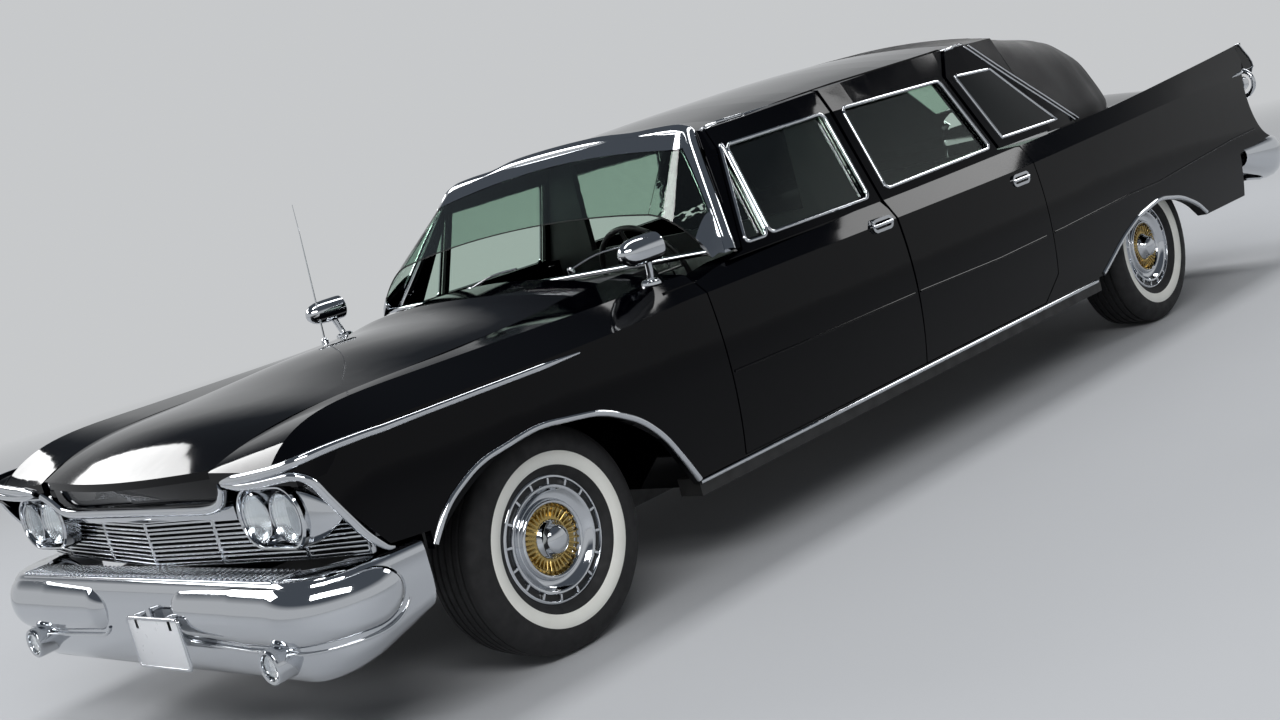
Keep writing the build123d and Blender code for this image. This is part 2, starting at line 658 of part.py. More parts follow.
# Nose panel under the bonnet's leading edge, with the brackets that tie it to the wings
grille_high = 700.0
header_top = 752.0
nose_half = 548.0
nose_wall = 24.0
lamp_panel_low = 704.0


def nose_section(x, top_y, top_z, foot_y):
    """The nose panel's leaning section at x."""
    foot_z = header_top + seat_gap
    return Wire.make_polygon([(x, top_y, top_z), (x, foot_y, foot_z), (x, foot_y + nose_wall, foot_z),
                              (x, top_y + nose_wall, top_z)], close=True)


# Columns: x, then the top's place and height and the foot's place of the nose panel
NOSE = ((-nose_half, -800, 838, -790), (0, -856, 822, -800), (nose_half, -800, 838, -790))
nose_panel = Solid.make_loft(
    [nose_section(x, at("front", top), z, at("front", foot)) for x, top, z, foot in NOSE], ruled=True)
for _, side in SIDES:
    for x0, z0, z1 in ((nose_half - 8, 792, 824), (564, 792, 862)):
        lo, hi = sorted((side * x0, side * 600))
        nose_panel += block(lo, hi, at("front", -790), at("front", -692), z0, z1)
    lo, hi = sorted((side * (nose_half + 12), side * 965))
    nose_panel += block(lo, hi, at("front", -700), at("front", -692), lamp_panel_low, 845)
parts["nose_panel"] = largest(nose_panel - left_fender - mirrored(left_fender))

# Roof with its pillars, and the leather-covered rear part
door_voids = []
for points in (front_opening, rear_opening):
    void = prism_x(points, door_top_inner - shut_gap, 1100)
    door_voids += [void, mirrored(void)]
quarter_void = prism_x(window_outlines["quarter"], 500, 1100)
under_deck = prism_x((
    (at("front", 600), 700), (at("front", 600), 986), (at("front", 1100), 986), (at("rear", -1160), 1006),
    (at("rear", -1000), 1006), (at("rear", -280), 1012), (at("rear", 200), 1012), (at("rear", 900), 1040),
    (at("rear", 900), 700)), -1100, 1100)
backlight_void = block(-440, 440, at("rear", 150), at("rear", 600), 1130, 1330)
upper_body = shell - door_voids - ahead_of_pillars - [quarter_void, mirrored(quarter_void)] - under_deck
upper_body = upper_body - backlight_void
cover_start = at("rear", -690)
parts["roof"] = upper_body & block(-1100, 1100, at("front", 0), cover_start, 0, 2000)
parts["roof_cover"] = upper_body & block(-1100, 1100, cover_start + seat_gap, at("rear", 900), 0, 2000)
backlight = glass_skin & block(-440 + seat_gap, 440 - seat_gap, at("rear", 150), at("rear", 600),
                               1130 + seat_gap, 1330 - seat_gap)
quarter_panes = panes(("quarter",))
parts["cabin_glass"] = Compound(children=(
    [windscreen] + backlight.solids() + quarter_panes + [mirrored(pane) for pane in quarter_panes]))

# Doors and their glass
left_doors = {"front": cabin_door(front_door_outline, ("vent", "front")),
              "rear": cabin_door(rear_door_outline, ("rear",))}
left_panes = {"front": panes(("vent", "front")), "rear": panes(("rear",))}
for row in ("front", "rear"):
    parts[f"{row}_door_left"] = left_doors[row]
    parts[f"{row}_door_right"] = mirrored(left_doors[row])
    parts[f"{row}_glass_left"] = Compound(children=left_panes[row])
    parts[f"{row}_glass_right"] = Compound(children=[mirrored(pane) for pane in left_panes[row]])

# Door handles: an oval ring against the door with a grip across it
handle_length = 126.0
handle_height = 50.0
handle_ring = 11.0
handle_stand = 12.0
# Columns: the row, then the axle, the distance behind it and the height of its handle
HANDLES = (("front", "front", 1748, 897), ("rear", "rear", -1095, 867))
for row, axle, distance, z in HANDLES:
    y = at(axle, distance)
    _, _, _, _, skin_x, _, _, _, _, _, _ = between(SIDE, y)
    face = SlotOverall(handle_length, handle_height) - SlotOverall(
        handle_length - 2 * handle_ring, handle_height - 2 * handle_ring)
    ring = Plane(origin=(skin_x - 40, y, z), x_dir=(0, 1, 0), z_dir=(1, 0, 0)) * extrude(face, amount=40 + handle_stand)
    grip_x = skin_x + handle_stand - 2
    grip = rod((grip_x, y - handle_length / 2 + 4, z), (grip_x, y + handle_length / 2 - 4, z), 7)
    handle = largest((ring + grip) - left_doors[row])
    parts[f"{row}_handle_left"] = handle
    parts[f"{row}_handle_right"] = mirrored(handle)

# Rear sheet metal
left_quarter = quarter()
parts["rear_quarters"] = Compound(children=[solid(left_quarter), solid(mirrored(left_quarter))])
lid_foot = 640.0
lid_top = top_skin(at("rear", 640), at("rear", 1150), top_wall, shut_gap)
lid_back = tail_band(-780, 780, tail_wall) & top_skin(at("rear", 1000), at("rear", 1240), 420, shut_gap)
parts["trunk_lid"] = largest(lid_top + (lid_back & block(-800, 800, at("rear", 900), at("rear", 1300), lid_foot, 1100)))
shelf = top_skin(at("rear", -560), at("rear", 640) - shut_gap, top_wall, seat_gap) - outer_cabin
shelf = shelf - left_quarter - mirrored(left_quarter)
inner_shelf = cabin_form(roof_wall + seat_gap, -5, 40) & block(
    -1100, 1100, at("rear", -250), at("rear", 610), 985, 1003)
inner_shelf = inner_shelf - left_quarter - mirrored(left_quarter)
valance = block(-790, 790, floor_back + seat_gap, floor_back + 20, 500 + seat_gap, lid_foot - 8)
lid_pad = Pos(0, 0, -top_wall - seat_gap) * top_skin(at("rear", 640), at("rear", 1140), 40, shut_gap)
lid_pad += Pos(0, 0, -top_wall + 6) * top_skin(at("rear", -560), at("rear", 640), 46, 60)
for _, side in SIDES:
    lo, hi = sorted((side * 280, side * 330))
    shelf += block(lo, hi, at("rear", 600), at("rear", 690), 900, 1100) & lid_pad
parts["rear_deck"] = Compound(children=[*shelf.solids(), *inner_shelf.solids(), solid(valance)])

# Front end: grille, lamps and bumper
prow = at("front", -800)
grille_low = 560.0
grille_depth = 18.0
bar_count = 5
# Columns: where a cell starts and ends, as x and as the distance behind the prow
CELLS = ((0.2, 0, 348, 34), (348.3, 34, 738, 74), (738.3, 74, 968, 122))


def grille_cell(x0, set0, x1, set1):
    """One cell: a thin frame across which flat looped bars lie."""
    run = math.hypot(x1 - x0, set1 - set0)
    height = grille_high - grille_low
    plane = Plane(origin=(x0, prow + set0, grille_low), x_dir=(x1 - x0, set1 - set0, 0),
                  z_dir=(set1 - set0, -(x1 - x0), 0))
    face = Pos(run / 2, height / 2) * (Rectangle(run, height) - Rectangle(run - 12, height - 6))
    pitch = (height - 6) / bar_count
    for i in range(bar_count):
        loop = SlotOverall(run - 6, pitch - 6) - SlotOverall(run - 18, pitch - 18)
        face += Pos(run / 2, 3 + pitch * (i + 0.5)) * loop
    return extrude(plane * face, amount=-grille_depth)


cells = [grille_cell(*cell) for cell in CELLS]
cells += [mirrored(cell) for cell in cells]
header_bar = block(-530, 530, prow + 14, prow + 60, grille_high + seat_gap, header_top)
parts["grille"] = Compound(children=[solid(cell) for cell in cells] + [solid(header_bar)])

lamp_face = at("front", -785)
lamp_z = 705.0
lamp_radius = 70.0
LAMPS = (650.0, 794.0)
bezels = []
lenses = []
for _, side in SIDES:
    middle = side * sum(LAMPS) / 2
    pod = SlotOverall(LAMPS[1] - LAMPS[0] + 2 * lamp_radius + 24, 2 * lamp_radius + 24)
    plate = Pos(middle, lamp_face + 15, lamp_z) * extrude(Plane.XZ * pod, amount=15, both=True)
    for x in LAMPS:
        plate -= Pos(side * x, lamp_face + 10, lamp_z) * Cylinder(lamp_radius, 50, rotation=(90, 0, 0))
        dome = Pos(side * x, lamp_face + 6, lamp_z) * Rot(90, 0, 0) * (
            (Sphere(130) & Pos(0, 0, 120) * Cylinder(lamp_radius - seat_gap, 60)))
        lenses.append(solid(Pos(0, 110, 0) * dome))
    lo, hi = sorted((middle - 110, middle + 110))
    hanger = block(lo, hi, lamp_face + 4, lamp_face + 60, lamp_z + lamp_radius + 6, 862)
    bezels.append(largest((plate + hanger) - (left_fender if side > 0 else mirrored(left_fender))))
parts["headlamp_bezels"] = Compound(children=bezels)
parts["headlamps"] = Compound(children=lenses)

# Front bumper: a wrapped shell with a shelf, a tapered bulb along each half, and lamp pods below
bumper_half = 1031.0
bumper_corner = 190.0
bumper_low = 224.0
bumper_shelf = 556.0
shell_wall = 12.0
bulb_z = 456.0
pod_x = 715.0
pod_z = 336.0
pod_radius = 47.0
bumper_end = at("front", -532)
# Columns: height, and how far the shell lies inside the bumper's outermost line there
SHELL = ((bumper_low, 150), (298, 56), (356, 36), (bumper_shelf - 16, 36), (bumper_shelf, 52))
# Columns: x, distance behind the nose, turn towards the side, half height and half depth
BULB = ((206, 64, 0, 10, 8), (222, 62, 0, 40, 32), (290, 62, 0, 70, 54), (540, 67, 0, 84, 67),
        (800, 70, 5, 86, 68), (926, 112, 42, 84, 62), (968, 205, 82, 76, 54), (983, 300, 90, 62, 42),
        (994, 368, 90, 24, 18))


def bumper_plan(z, inset, end):
    """The front bumper's outline at a height, drawn in by an inset and closed behind."""
    x, y, r = bumper_half - inset, y_nose + inset, bumper_corner - 0.3 * inset
    k = r * (1 - math.sqrt(0.5))
    return outline(
        (x, end, z), (x, y + r, z), ((x - k, y + k, z), (x - r, y, z)), (r - x, y, z),
        ((k - x, y + k, z), (-x, y + r, z)), (-x, end, z))


def bulb(side):
    """A torpedo along one half of the bumper, round its corner."""
    rings = []
    for x, back, turn, high, deep in BULB:
        way = (math.cos(math.radians(turn)), math.sin(math.radians(turn)), 0)
        plane = Plane(origin=(x, y_nose + back, bulb_z), x_dir=(0, 0, 1), z_dir=way)
        rings.append((plane * Ellipse(high, deep)).wire())
    form = Solid.make_loft(rings)
    return form if side > 0 else mirrored(form)


front_bumper = Solid.make_loft([bumper_plan(z, inset, bumper_end) for z, inset in SHELL], ruled=True)
hollow = [(z, inset + shell_wall) for z, inset in SHELL]
hollow[0] = (bumper_low - 1, hollow[0][1])
hollow[-1] = (bumper_shelf - shell_wall, hollow[-2][1])
hollow[-2] = (420, hollow[-2][1])
front_bumper -= Solid.make_loft([bumper_plan(z, inset, bumper_end + 5) for z, inset in hollow], ruled=True)
front_bumper -= block(-bumper_half + 130, bumper_half - 130, at("front", -780), at("front", -500), 500, 600)
front_bumper -= prism_x(((at("front", -860), 200), (at("front", -860), bumper_low), (bumper_end + 5, 330),
                         (bumper_end + 5, 200)), -1100, 1100)
for _, side in SIDES:
    front_bumper += bulb(side)
    pod_front = (side * pod_x, at("front", -909), pod_z)
    front_bumper += rod(pod_front, (side * pod_x, at("front", -800), pod_z), pod_radius)
    front_bumper -= rod(pod_front, (side * pod_x, at("front", -895), pod_z), pod_radius - 8)
    lo, hi = sorted((side * (rail_half - 30), side * (rail_half + 30)))
    front_bumper += block(lo, hi, at("front", -880), at("front", -700) - seat_gap, 440, 498)
parts["front_bumper"] = largest(front_bumper)

# Rear bumper: a deep shell that wraps the tail, with a shelf up to the body
rear_half = 1012.0
rear_corner = 250.0
rear_low = 388.0
rear_shelf = 612.0
rear_start = at("rear", 866)
# Columns: height, and how far the shell lies inside the rear bumper's outermost line there
REAR_SHELL = ((rear_low, 74), (446, 16), (520, 0), (592, 10), (rear_shelf, 34))


def rear_plan(z, inset, start):
    """The rear bumper's outline at a height, drawn in by an inset and closed ahead."""
    x, y, r = rear_half - inset, y_tail - inset, rear_corner - 0.3 * inset
    k = r * (1 - math.sqrt(0.5))
    return outline(
        (x, start, z), (x, y - r, z), ((x - k, y - k, z), (x - r, y, z)), (r - x, y, z),
        ((k - x, y - k, z), (-x, y - r, z)), (-x, start, z))


rear_bumper = Solid.make_loft([rear_plan(z, inset, rear_start) for z, inset in REAR_SHELL], ruled=True)
hollow = [(z, inset + shell_wall) for z, inset in REAR_SHELL]
hollow[0] = (rear_low - 1, hollow[0][1])
hollow[-1] = (rear_shelf - shell_wall, hollow[-2][1])
hollow[-2] = (560, hollow[-3][1])
rear_bumper -= Solid.make_loft([rear_plan(z, inset, rear_start - 5) for z, inset in hollow], ruled=True)
rear_bumper -= prism_x(((rear_start - 5, 580), (tail_foot[0] + 4, 602), (tail_foot[0] + 4, 700),
                        (rear_start - 5, 700)), -1100, 1100)
rear_bumper -= block(60 - rear_half, rear_half - 60, rear_start - 5, tail_foot[0] + 4, 560, 700)
for _, side in SIDES:
    lo, hi = sorted((side * (rail_half - 30), side * (rail_half + 30)))
    rear_bumper += block(lo, hi, at("rear", 1290) + seat_gap, y_tail - 8, 420, 490)
parts["rear_bumper"] = largest(rear_bumper)

# Tail lamps: a free-standing ring about a bullet at each fin's end
lamp_ring = 66.0
tail_lamp_z = 900.0
tails = []
for _, side in SIDES:
    centre = (side * 928, at("rear", 1178), tail_lamp_z)
    ring = Pos(*centre) * Rot(90, 0, 0) * Torus(lamp_ring, 11)
    bullet = Pos(*centre) * Rot(-90, 0, 0) * (Pos(0, 0, -40) * Cylinder(36, 110) + Pos(0, 0, 15) * Cone(
        36, 12, 44, align=(Align.CENTER, Align.CENTER, Align.MIN)))
    spoke = block(centre[0] - 6, centre[0] + 6, centre[1] - 8, centre[1] + 8, centre[2] - lamp_ring, centre[2] + lamp_ring)
    tails.append(largest((ring + bullet + spoke) - (left_quarter if side > 0 else mirrored(left_quarter))))
parts["tail_lamps"] = Compound(children=tails)

# Cabin furniture
seat_half = 690.0
front_seat = prism_x((
    (at("front", 1130), floor_top + seat_gap), (at("front", 1120), 520), (at("front", 1160), 570),
    (at("front", 1600), 545), (at("front", 1720), 930), (at("front", 1800), 930), (at("front", 1740), 500),
    (at("front", 1740), floor_top + seat_gap)), -seat_half, seat_half)
parts["front_seat"] = front_seat - tunnel(tunnel_half + seat_gap, -seat_gap)
rear_seat = prism_x((
    (at("rear", -960), floor_top + seat_gap), (at("rear", -970), 560), (at("rear", -930), 605),
    (at("rear", -430), 575 + floor_wall + 12), (at("rear", -330), 960), (at("rear", -240), 960),
    (at("rear", -310), trunk_floor + floor_wall + seat_gap), (at("rear", -353), trunk_floor + floor_wall + 1),
    (at("rear", -662), floor_top + 1)), -seat_half + 60, seat_half - 60)
parts["rear_seat"] = rear_seat - tunnel(tunnel_half + seat_gap, -seat_gap)
wall_y = (at("front", 1815), at("front", 1845))
upper_wall = cabin_form(frame_wall + 9, -5, 40) & block(-1100, 1100, *wall_y, 990, 1600)
wall = (upper_wall + block(-826, 826, *wall_y, floor_top + seat_gap, 991)) - block(-600, 600, *wall_y, 1000, 1380)
for _, side in SIDES:
    for z in (430, 800):
        reach = door_inner_x(at("front", door_split + 50), z + 70) - seat_gap
        lo, hi = sorted((side * 820, side * reach))
        wall += block(lo, hi, at("front", door_split + 10), at("front", door_split + 50), z, z + 70)
        lo, hi = sorted((side * 820, side * 836))
        wall += block(lo, hi, wall_y[0], at("front", door_split + 50), z, z + 70)
parts["partition"] = wall - tunnel(tunnel_half + seat_gap, -seat_gap)
dash = prism_x((
    (at("front", 640), 800), (at("front", 640), 970), (at("front", 760), 985), (at("front", 960), 985),
    (at("front", 990), 930), (at("front", 960), 800)), -600, 600)
parts["dashboard"] = dash & screen_form(30) & block(-600, 600, y_front, at("front", 1100), 0, 984)
dashboard = parts["dashboard"]
wheel_centre = Vector(370, at("front", 1150), 930)
column_foot = Vector(370, at("front", 1000), 880)
rim = Plane(origin=wheel_centre, z_dir=(wheel_centre - column_foot)) * Torus(205, 11)
spokes = Plane(origin=wheel_centre, z_dir=(wheel_centre - column_foot)) * Box(400, 26, 12)
column = rod(column_foot - (wheel_centre - column_foot) * 0.5, wheel_centre, 30)
parts["steering_wheel"] = (rim + spokes + column) - dashboard

# Mirrors on the wings
mirrors = []
for _, side in SIDES:
    head = rod((side * 905, at("front", 560), 1082), (side * 909, at("front", 676), 1082), 46)
    nose = Pos(side * 905, at("front", 560), 1082) * Sphere(46)
    stalk = rod((side * 882, at("front", 660), 950), (side * 905, at("front", 640), 1060), 13)
    foot = Pos(side * 882, at("front", 655), 972) * Cylinder(30, 20)
    shape = head + nose + stalk + foot
    below = prism_z(((side * 800, at("front", 500)), (side * 960, at("front", 500)), (side * 960, at("front", 770)),
                     (side * 800, at("front", 770))), 900, 966)
    mirrors.append(largest(shape - below - (left_fender if side > 0 else mirrored(left_fender))))
parts["mirrors"] = Compound(children=mirrors)

os.makedirs("parts", exist_ok=True)
for name, shape in parts.items():
    print(name, len(shape.solids()))
    export_step(solid(shape), f"parts/{name}.step")
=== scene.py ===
import math

import bmesh
import bpy
import numpy as np
from bpy.props import FloatProperty, FloatVectorProperty, PointerProperty
from mathutils import Matrix, Vector
from mathutils.bvhtree import BVHTree


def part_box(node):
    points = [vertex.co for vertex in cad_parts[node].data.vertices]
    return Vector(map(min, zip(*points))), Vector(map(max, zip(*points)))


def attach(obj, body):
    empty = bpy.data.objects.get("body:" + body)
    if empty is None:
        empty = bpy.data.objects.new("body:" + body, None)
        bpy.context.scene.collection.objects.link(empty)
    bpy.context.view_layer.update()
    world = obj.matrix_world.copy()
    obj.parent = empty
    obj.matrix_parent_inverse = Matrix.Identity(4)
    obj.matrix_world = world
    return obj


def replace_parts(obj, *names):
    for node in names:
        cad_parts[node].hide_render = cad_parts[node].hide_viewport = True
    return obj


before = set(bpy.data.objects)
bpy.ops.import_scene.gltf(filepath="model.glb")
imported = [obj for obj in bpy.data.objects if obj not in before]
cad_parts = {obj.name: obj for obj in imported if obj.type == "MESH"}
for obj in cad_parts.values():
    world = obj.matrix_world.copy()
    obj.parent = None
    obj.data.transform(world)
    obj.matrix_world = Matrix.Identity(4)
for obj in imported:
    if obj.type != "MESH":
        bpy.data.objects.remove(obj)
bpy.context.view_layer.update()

# Finned limousine of the late 1950s, in metres. The front faces -Y and the left side is +X.

bl_info = {
    "name": "Finned limousine",
    "version": (1, 0, 0),
    "blender": (4, 5, 0),
    "location": "View3D > Sidebar > Limousine",
    "description": "Dresses the limousine's frame with its finishes, trim and seats",
    "category": "Object",
}

# Places along the car are counted from the axles, as on the body drawings
wheelbase = 3.797
front_overhang = 0.935
rear_overhang = 1.483
front_axle = front_overhang - (front_overhang + wheelbase + rear_overhang) / 2
rear_axle = front_axle + wheelbase

X, Y, Z = (Vector(axis) for axis in ((1, 0, 0), (0, 1, 0), (0, 0, 1)))
MERGE_GAP = 0.00002  # points closer than this become one
SINK = 0.004         # how deep a moulding's foot lies in the panel below it


def mm(*values):
    """Millimetres as metres: a number for one value, a tuple for more."""
    return values[0] / 1000 if len(values) == 1 else tuple(value / 1000 for value in values)


def from_front(x, d, z):
    """A place from x, the distance behind the front axle and the height, in millimetres."""
    return Vector((mm(x), front_axle + mm(d), mm(z)))


def from_rear(x, d, z):
    """A place from x, the distance behind the rear axle and the height, in millimetres."""
    return Vector((mm(x), rear_axle + mm(d), mm(z)))


def front_places(*rows):
    """Places counted from the front axle."""
    return [from_front(*row) for row in rows]


def angles(count):
    """Evenly spaced angles round a full turn."""
    return [2 * math.pi * k / count for k in range(count)]


def shares(count):
    """Evenly spaced shares from 0 to 1."""
    return [k / count for k in range(count + 1)]


def flipped(points):
    """The points of a line on the other side of the car, in reverse."""
    return [Vector((-p.x, p.y, p.z)) for p in reversed(points)]


# Pieces

def chosen(*pieces):
    """Selects pieces alone, makes the first of them active and returns it."""
    bpy.ops.object.select_all(action="DESELECT")
    for piece in pieces:
        piece.select_set(True)
    bpy.context.view_layer.objects.active = pieces[0]
    return pieces[0]


def finish_piece(piece, name, make="plated_steel", body="body", angle=35):
    """Names a piece, smooths it, gives it its finish and lets it ride on its body."""
    chosen(piece)
    bpy.ops.object.transform_apply(location=True, rotation=True, scale=True)
    bpy.ops.object.shade_smooth_by_angle(angle=math.radians(angle))
    piece.name = name
    piece.data.name = name
    piece.data.materials.clear()
    piece.data.materials.append(finish(make))
    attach(piece, body)
    return piece


def both_sides(piece, name, make="plated_steel", body="body"):
    """Finishes a left piece and its mirror image, and returns the left one."""
    twin = piece.copy()
    twin.data = piece.data.copy()
    bpy.context.scene.collection.objects.link(twin)
    twin.data.transform(Matrix.Scale(-1, 4, X))
    twin.data.flip_normals()
    finish_piece(piece, f"{name}_left", make, body)
    finish_piece(twin, f"{name}_right", make, body.replace("left", "right"))
    return piece


def joined(*pieces):
    """Joins pieces into the first of them."""
    first = chosen(*pieces)
    bpy.ops.object.join()
    return first


def outwards(piece):
    """Merges a piece's doubles and turns its faces outwards."""
    chosen(piece)
    bpy.ops.object.mode_set(mode="EDIT")
    bpy.ops.mesh.select_all(action="SELECT")
    bpy.ops.mesh.remove_doubles(threshold=MERGE_GAP)
    bpy.ops.mesh.normals_make_consistent(inside=False)
    bpy.ops.object.mode_set(mode="OBJECT")
    return piece


def modified(piece, kind, **settings):
    """Applies a modifier with its settings to a piece."""
    modifier = piece.modifiers.new(kind, kind)
    for key, value in settings.items():
        setattr(modifier, key, value)
    bpy.context.view_layer.objects.active = piece
    bpy.ops.object.modifier_apply(modifier=modifier.name)
    return piece


def softened(piece, width, segments=2, angle=30):
    """Rounds a piece's sharp edges by a width in millimetres."""
    return modified(piece, "BEVEL", width=mm(width), segments=segments, limit_method="ANGLE",
                    angle_limit=math.radians(angle))


def spun(piece, pivot, axis, angle):
    """Turns a piece about an axis through a pivot."""
    piece.data.transform(Matrix.Translation(pivot) @ Matrix.Rotation(angle, 4, axis) @ Matrix.Translation(-pivot))
    return piece


def block(centre, size):
    """A block from its centre and its size in millimetres."""
    bpy.ops.object.select_all(action="DESELECT")
    bpy.ops.mesh.primitive_cube_add(size=1, location=centre, scale=mm(*size))
    bpy.ops.object.transform_apply(location=True, rotation=True, scale=True)
    return bpy.context.object


def turned(profile, steps, centre, side):
    """A ring extruded and resized about the X axis along its (outward, radius) profile in millimetres."""
    bpy.ops.object.select_all(action="DESELECT")
    outward, radius = profile[0]
    bpy.ops.mesh.primitive_circle_add(vertices=steps, radius=mm(radius), location=centre + X * side * mm(outward),
                                      rotation=(0, math.pi / 2, 0))
    bpy.ops.object.mode_set(mode="EDIT")
    for (x0, r0), (x1, r1) in zip(profile, profile[1:]):
        bpy.ops.mesh.extrude_edges_move(TRANSFORM_OT_translate={"value": (side * mm(x1 - x0), 0, 0)})
        bpy.ops.transform.resize(value=(1, r1 / r0, r1 / r0), center_override=centre)
    bpy.ops.object.mode_set(mode="OBJECT")
    return outwards(bpy.context.object)


def mesh_piece(vertices, faces):
    """An object from its points and faces."""
    mesh = bpy.data.meshes.new("piece")
    mesh.from_pydata([tuple(v) for v in vertices], [], faces)
    mesh.validate()
    piece = bpy.data.objects.new("piece", mesh)
    bpy.context.scene.collection.objects.link(piece)
    return piece


def sheet(rows):
    """An open skin through rows of points."""
    count = len(rows[0])
    faces = [(i * count + k, (i + 1) * count + k, (i + 1) * count + k + 1, i * count + k + 1)
             for i in range(len(rows) - 1) for k in range(count - 1)]
    return chosen(mesh_piece([point for row in rows for point in row], faces))


def lofted(rings, loop=False):
    """A skin through rings of equal count, capped at its ends unless the rings form a loop."""
    count, last = len(rings[0]), len(rings) - 1
    faces = []
    for i in range(last + loop):
        a, b = i * count, (i + 1) % len(rings) * count
        faces += [(a + k, a + (k + 1) % count, b + (k + 1) % count, b + k) for k in range(count)]
    if not loop:
        faces += [tuple(range(count)), tuple(range(last * count, (last + 1) * count))]
    return outwards(mesh_piece([point for ring in rings for point in ring], faces))


def round_form(profile, steps, centre, axis=(0, -1, 0), loop=False):
    """A form turned about an axis through its centre, from (outward, radius) rows in millimetres."""
    axis = Vector(axis).normalized()
    across = axis.orthogonal().normalized()
    over = axis.cross(across)
    rings = [[centre + axis * mm(h) + (across * math.cos(a) + over * math.sin(a)) * mm(r) for a in angles(steps)]
             for h, r in profile]
    return lofted(rings, loop)


def ring_profile(radius, high, wide, steps=14, shift=0):
    """The oval section of a ring, for round_form: mean radius, half height, half width and shift."""
    return [(shift + wide * math.sin(a), radius + high * math.cos(a)) for a in angles(steps)]


def tube(points, radii, sides=12, flat=1.0):
    """A round bar along points with a radius in millimetres at each, flattened by a factor."""
    radii = radii if isinstance(radii, list) else [radii] * len(points)
    rings, across = [], None
    for i, point in enumerate(points):
        along = (points[min(i + 1, len(points) - 1)] - points[max(i - 1, 0)]).normalized()
        across = along.orthogonal() if across is None else across - along * across.dot(along)
        across.normalize()
        over = along.cross(across)
        rings.append([point + (across * math.cos(a) + over * (math.sin(a) * flat)) * mm(radii[i])
                      for a in angles(sides)])
    return lofted(rings)


def smooth_path(points, steps=6):
    """Points on a smooth line through the given ones."""
    result = []
    for i in range(len(points) - 1):
        a, b, c, d = points[max(i - 1, 0)], points[i], points[i + 1], points[min(i + 2, len(points) - 1)]
        for t in (k / steps for k in range(steps)):
            result.append(((b * 2) + (c - a) * t + (a * 2 - b * 5 + c * 4 - d) * t ** 2
                           + (b * 3 - a - c * 3 + d) * t ** 3) * 0.5)
    return result + [points[-1]]


def rounded(points, radius, closed=True):
    """A plane path with its corners rounded, filled with evenly spaced points."""
    most, bends, pitch = 0.45, 6, 0.012  # share of a side that a corner may take, its steps, spacing of the points
    bent = []
    for i, corner in enumerate(points):
        if not closed and i in (0, len(points) - 1):
            bent.append(corner)
            continue
        before, after = points[i - 1] - corner, points[(i + 1) % len(points)] - corner
        reach = min(radius, before.length * most, after.length * most)
        start, end = corner + before.normalized() * reach, corner + after.normalized() * reach
        bent += [start * (1 - t) ** 2 + corner * (2 * t * (1 - t)) + end * t ** 2 for t in shares(bends)]
    filled = []
    for a, b in zip(bent, bent[1:] + bent[:closed]):
        steps = max(1, int((b - a).length / pitch))
        filled += [a + (b - a) * k / steps for k in range(steps)]
    return filled if closed else filled + bent[-1:]


def path_from(axle, points, radius=60, closed=False):
    """A rounded side view path in metres from (distance, height) points in millimetres."""
    corners = [Vector((0, axle + mm(d), mm(z))) for d, z in points]
    return [(p.y, p.z) for p in rounded(corners, mm(radius), closed)]


def moulding(points, normals, width, height, closed=False, samples=6):
    """A half-round strip, in millimetres, on a surface with the given normals, or with one normal for all."""
    count = len(points)
    widths = width if isinstance(width, list) else [width] * count
    normals = normals if isinstance(normals, list) else [normals] * count
    rings = []
    for i, point in enumerate(points):
        after = points[(i + 1) % count] if closed or i < count - 1 else point
        before = points[i - 1] if closed or i > 0 else point
        along = (after - before).normalized()
        out = Vector(normals[i]).normalized()
        out = (out - along * out.dot(along)).normalized()
        across = along.cross(out) * mm(widths[i] / 2)
        rise = out * (mm(height) * widths[i] / max(widths))
        ring = [point + across * math.cos(math.pi * t) + rise * math.sin(math.pi * t) for t in shares(samples)]
        rings.append(ring + [point - across - out * SINK, point + across - out * SINK])
    return lofted(rings, closed)


def surface_of(*nodes):
    """A search tree of the frame's nodes, to lay trim on."""
    gathered = bmesh.new()
    for node in nodes:
        gathered.from_mesh(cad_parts[node].data)
    tree = BVHTree.FromBMesh(gathered)
    gathered.free()
    return tree


def on_side(tree, y, z):
    """The place and normal of the left side at y and z, or None."""
    outside, reach = 1.4, 0.9
    hit, normal, _, _ = tree.ray_cast(Vector((outside, y, z)), -X, reach)
    return (hit, normal if normal.x > 0 else -normal) if hit else None


def strip_on_side(tree, path, width, height, closed=False):
    """A half-round strip along a side view path of (y, z) points."""
    places = [place for place in (on_side(tree, y, z) for y, z in path) if place]
    return moulding([p for p, _ in places], [n for _, n in places], width, height, closed)


# Finishes

def rgb(hex_code):
    """An sRGB hex colour as linear values with full alpha."""
    parts = [int(hex_code[i:i + 2], 16) / 255 for i in (0, 2, 4)]
    return [c / 12.92 if c <= 0.04045 else ((c + 0.055) / 1.055) ** 2.4 for c in parts] + [1.0]


def per_mm(size):
    """The texture scale, per metre, that gives a pattern of a size in millimetres."""
    return 1000.0 / size


def wire(tree, node, **inputs):
    """Sets or links a node's inputs, by name with _ for a space, or by number after a _."""
    for key, value in inputs.items():
        socket = node.inputs[int(key[1:])] if key[1:].isdigit() else node.inputs[key.replace("_", " ")]
        if isinstance(value, bpy.types.NodeSocket):
            tree.links.new(value, socket)
        else:
            socket.default_value = value
    return node


def add_node(tree, kind, props=(), **inputs):
    """Adds a node, sets its properties, and sets or links its inputs."""
    node = tree.nodes.new(kind)
    for key, value in dict(props).items():
        setattr(node, key, value)
    return wire(tree, node, **inputs)


def wandering(tree, place, size, low, high):
    """A roughness that wanders between two values in patches of a size in millimetres."""
    patches = add_node(tree, "ShaderNodeTexNoise", Vector=place, Scale=per_mm(size), Detail=4.0)
    return add_node(tree, "ShaderNodeMapRange", Value=patches.outputs["Fac"], From_Min=0.3, From_Max=0.7,
                    To_Min=low, To_Max=high).outputs["Result"]


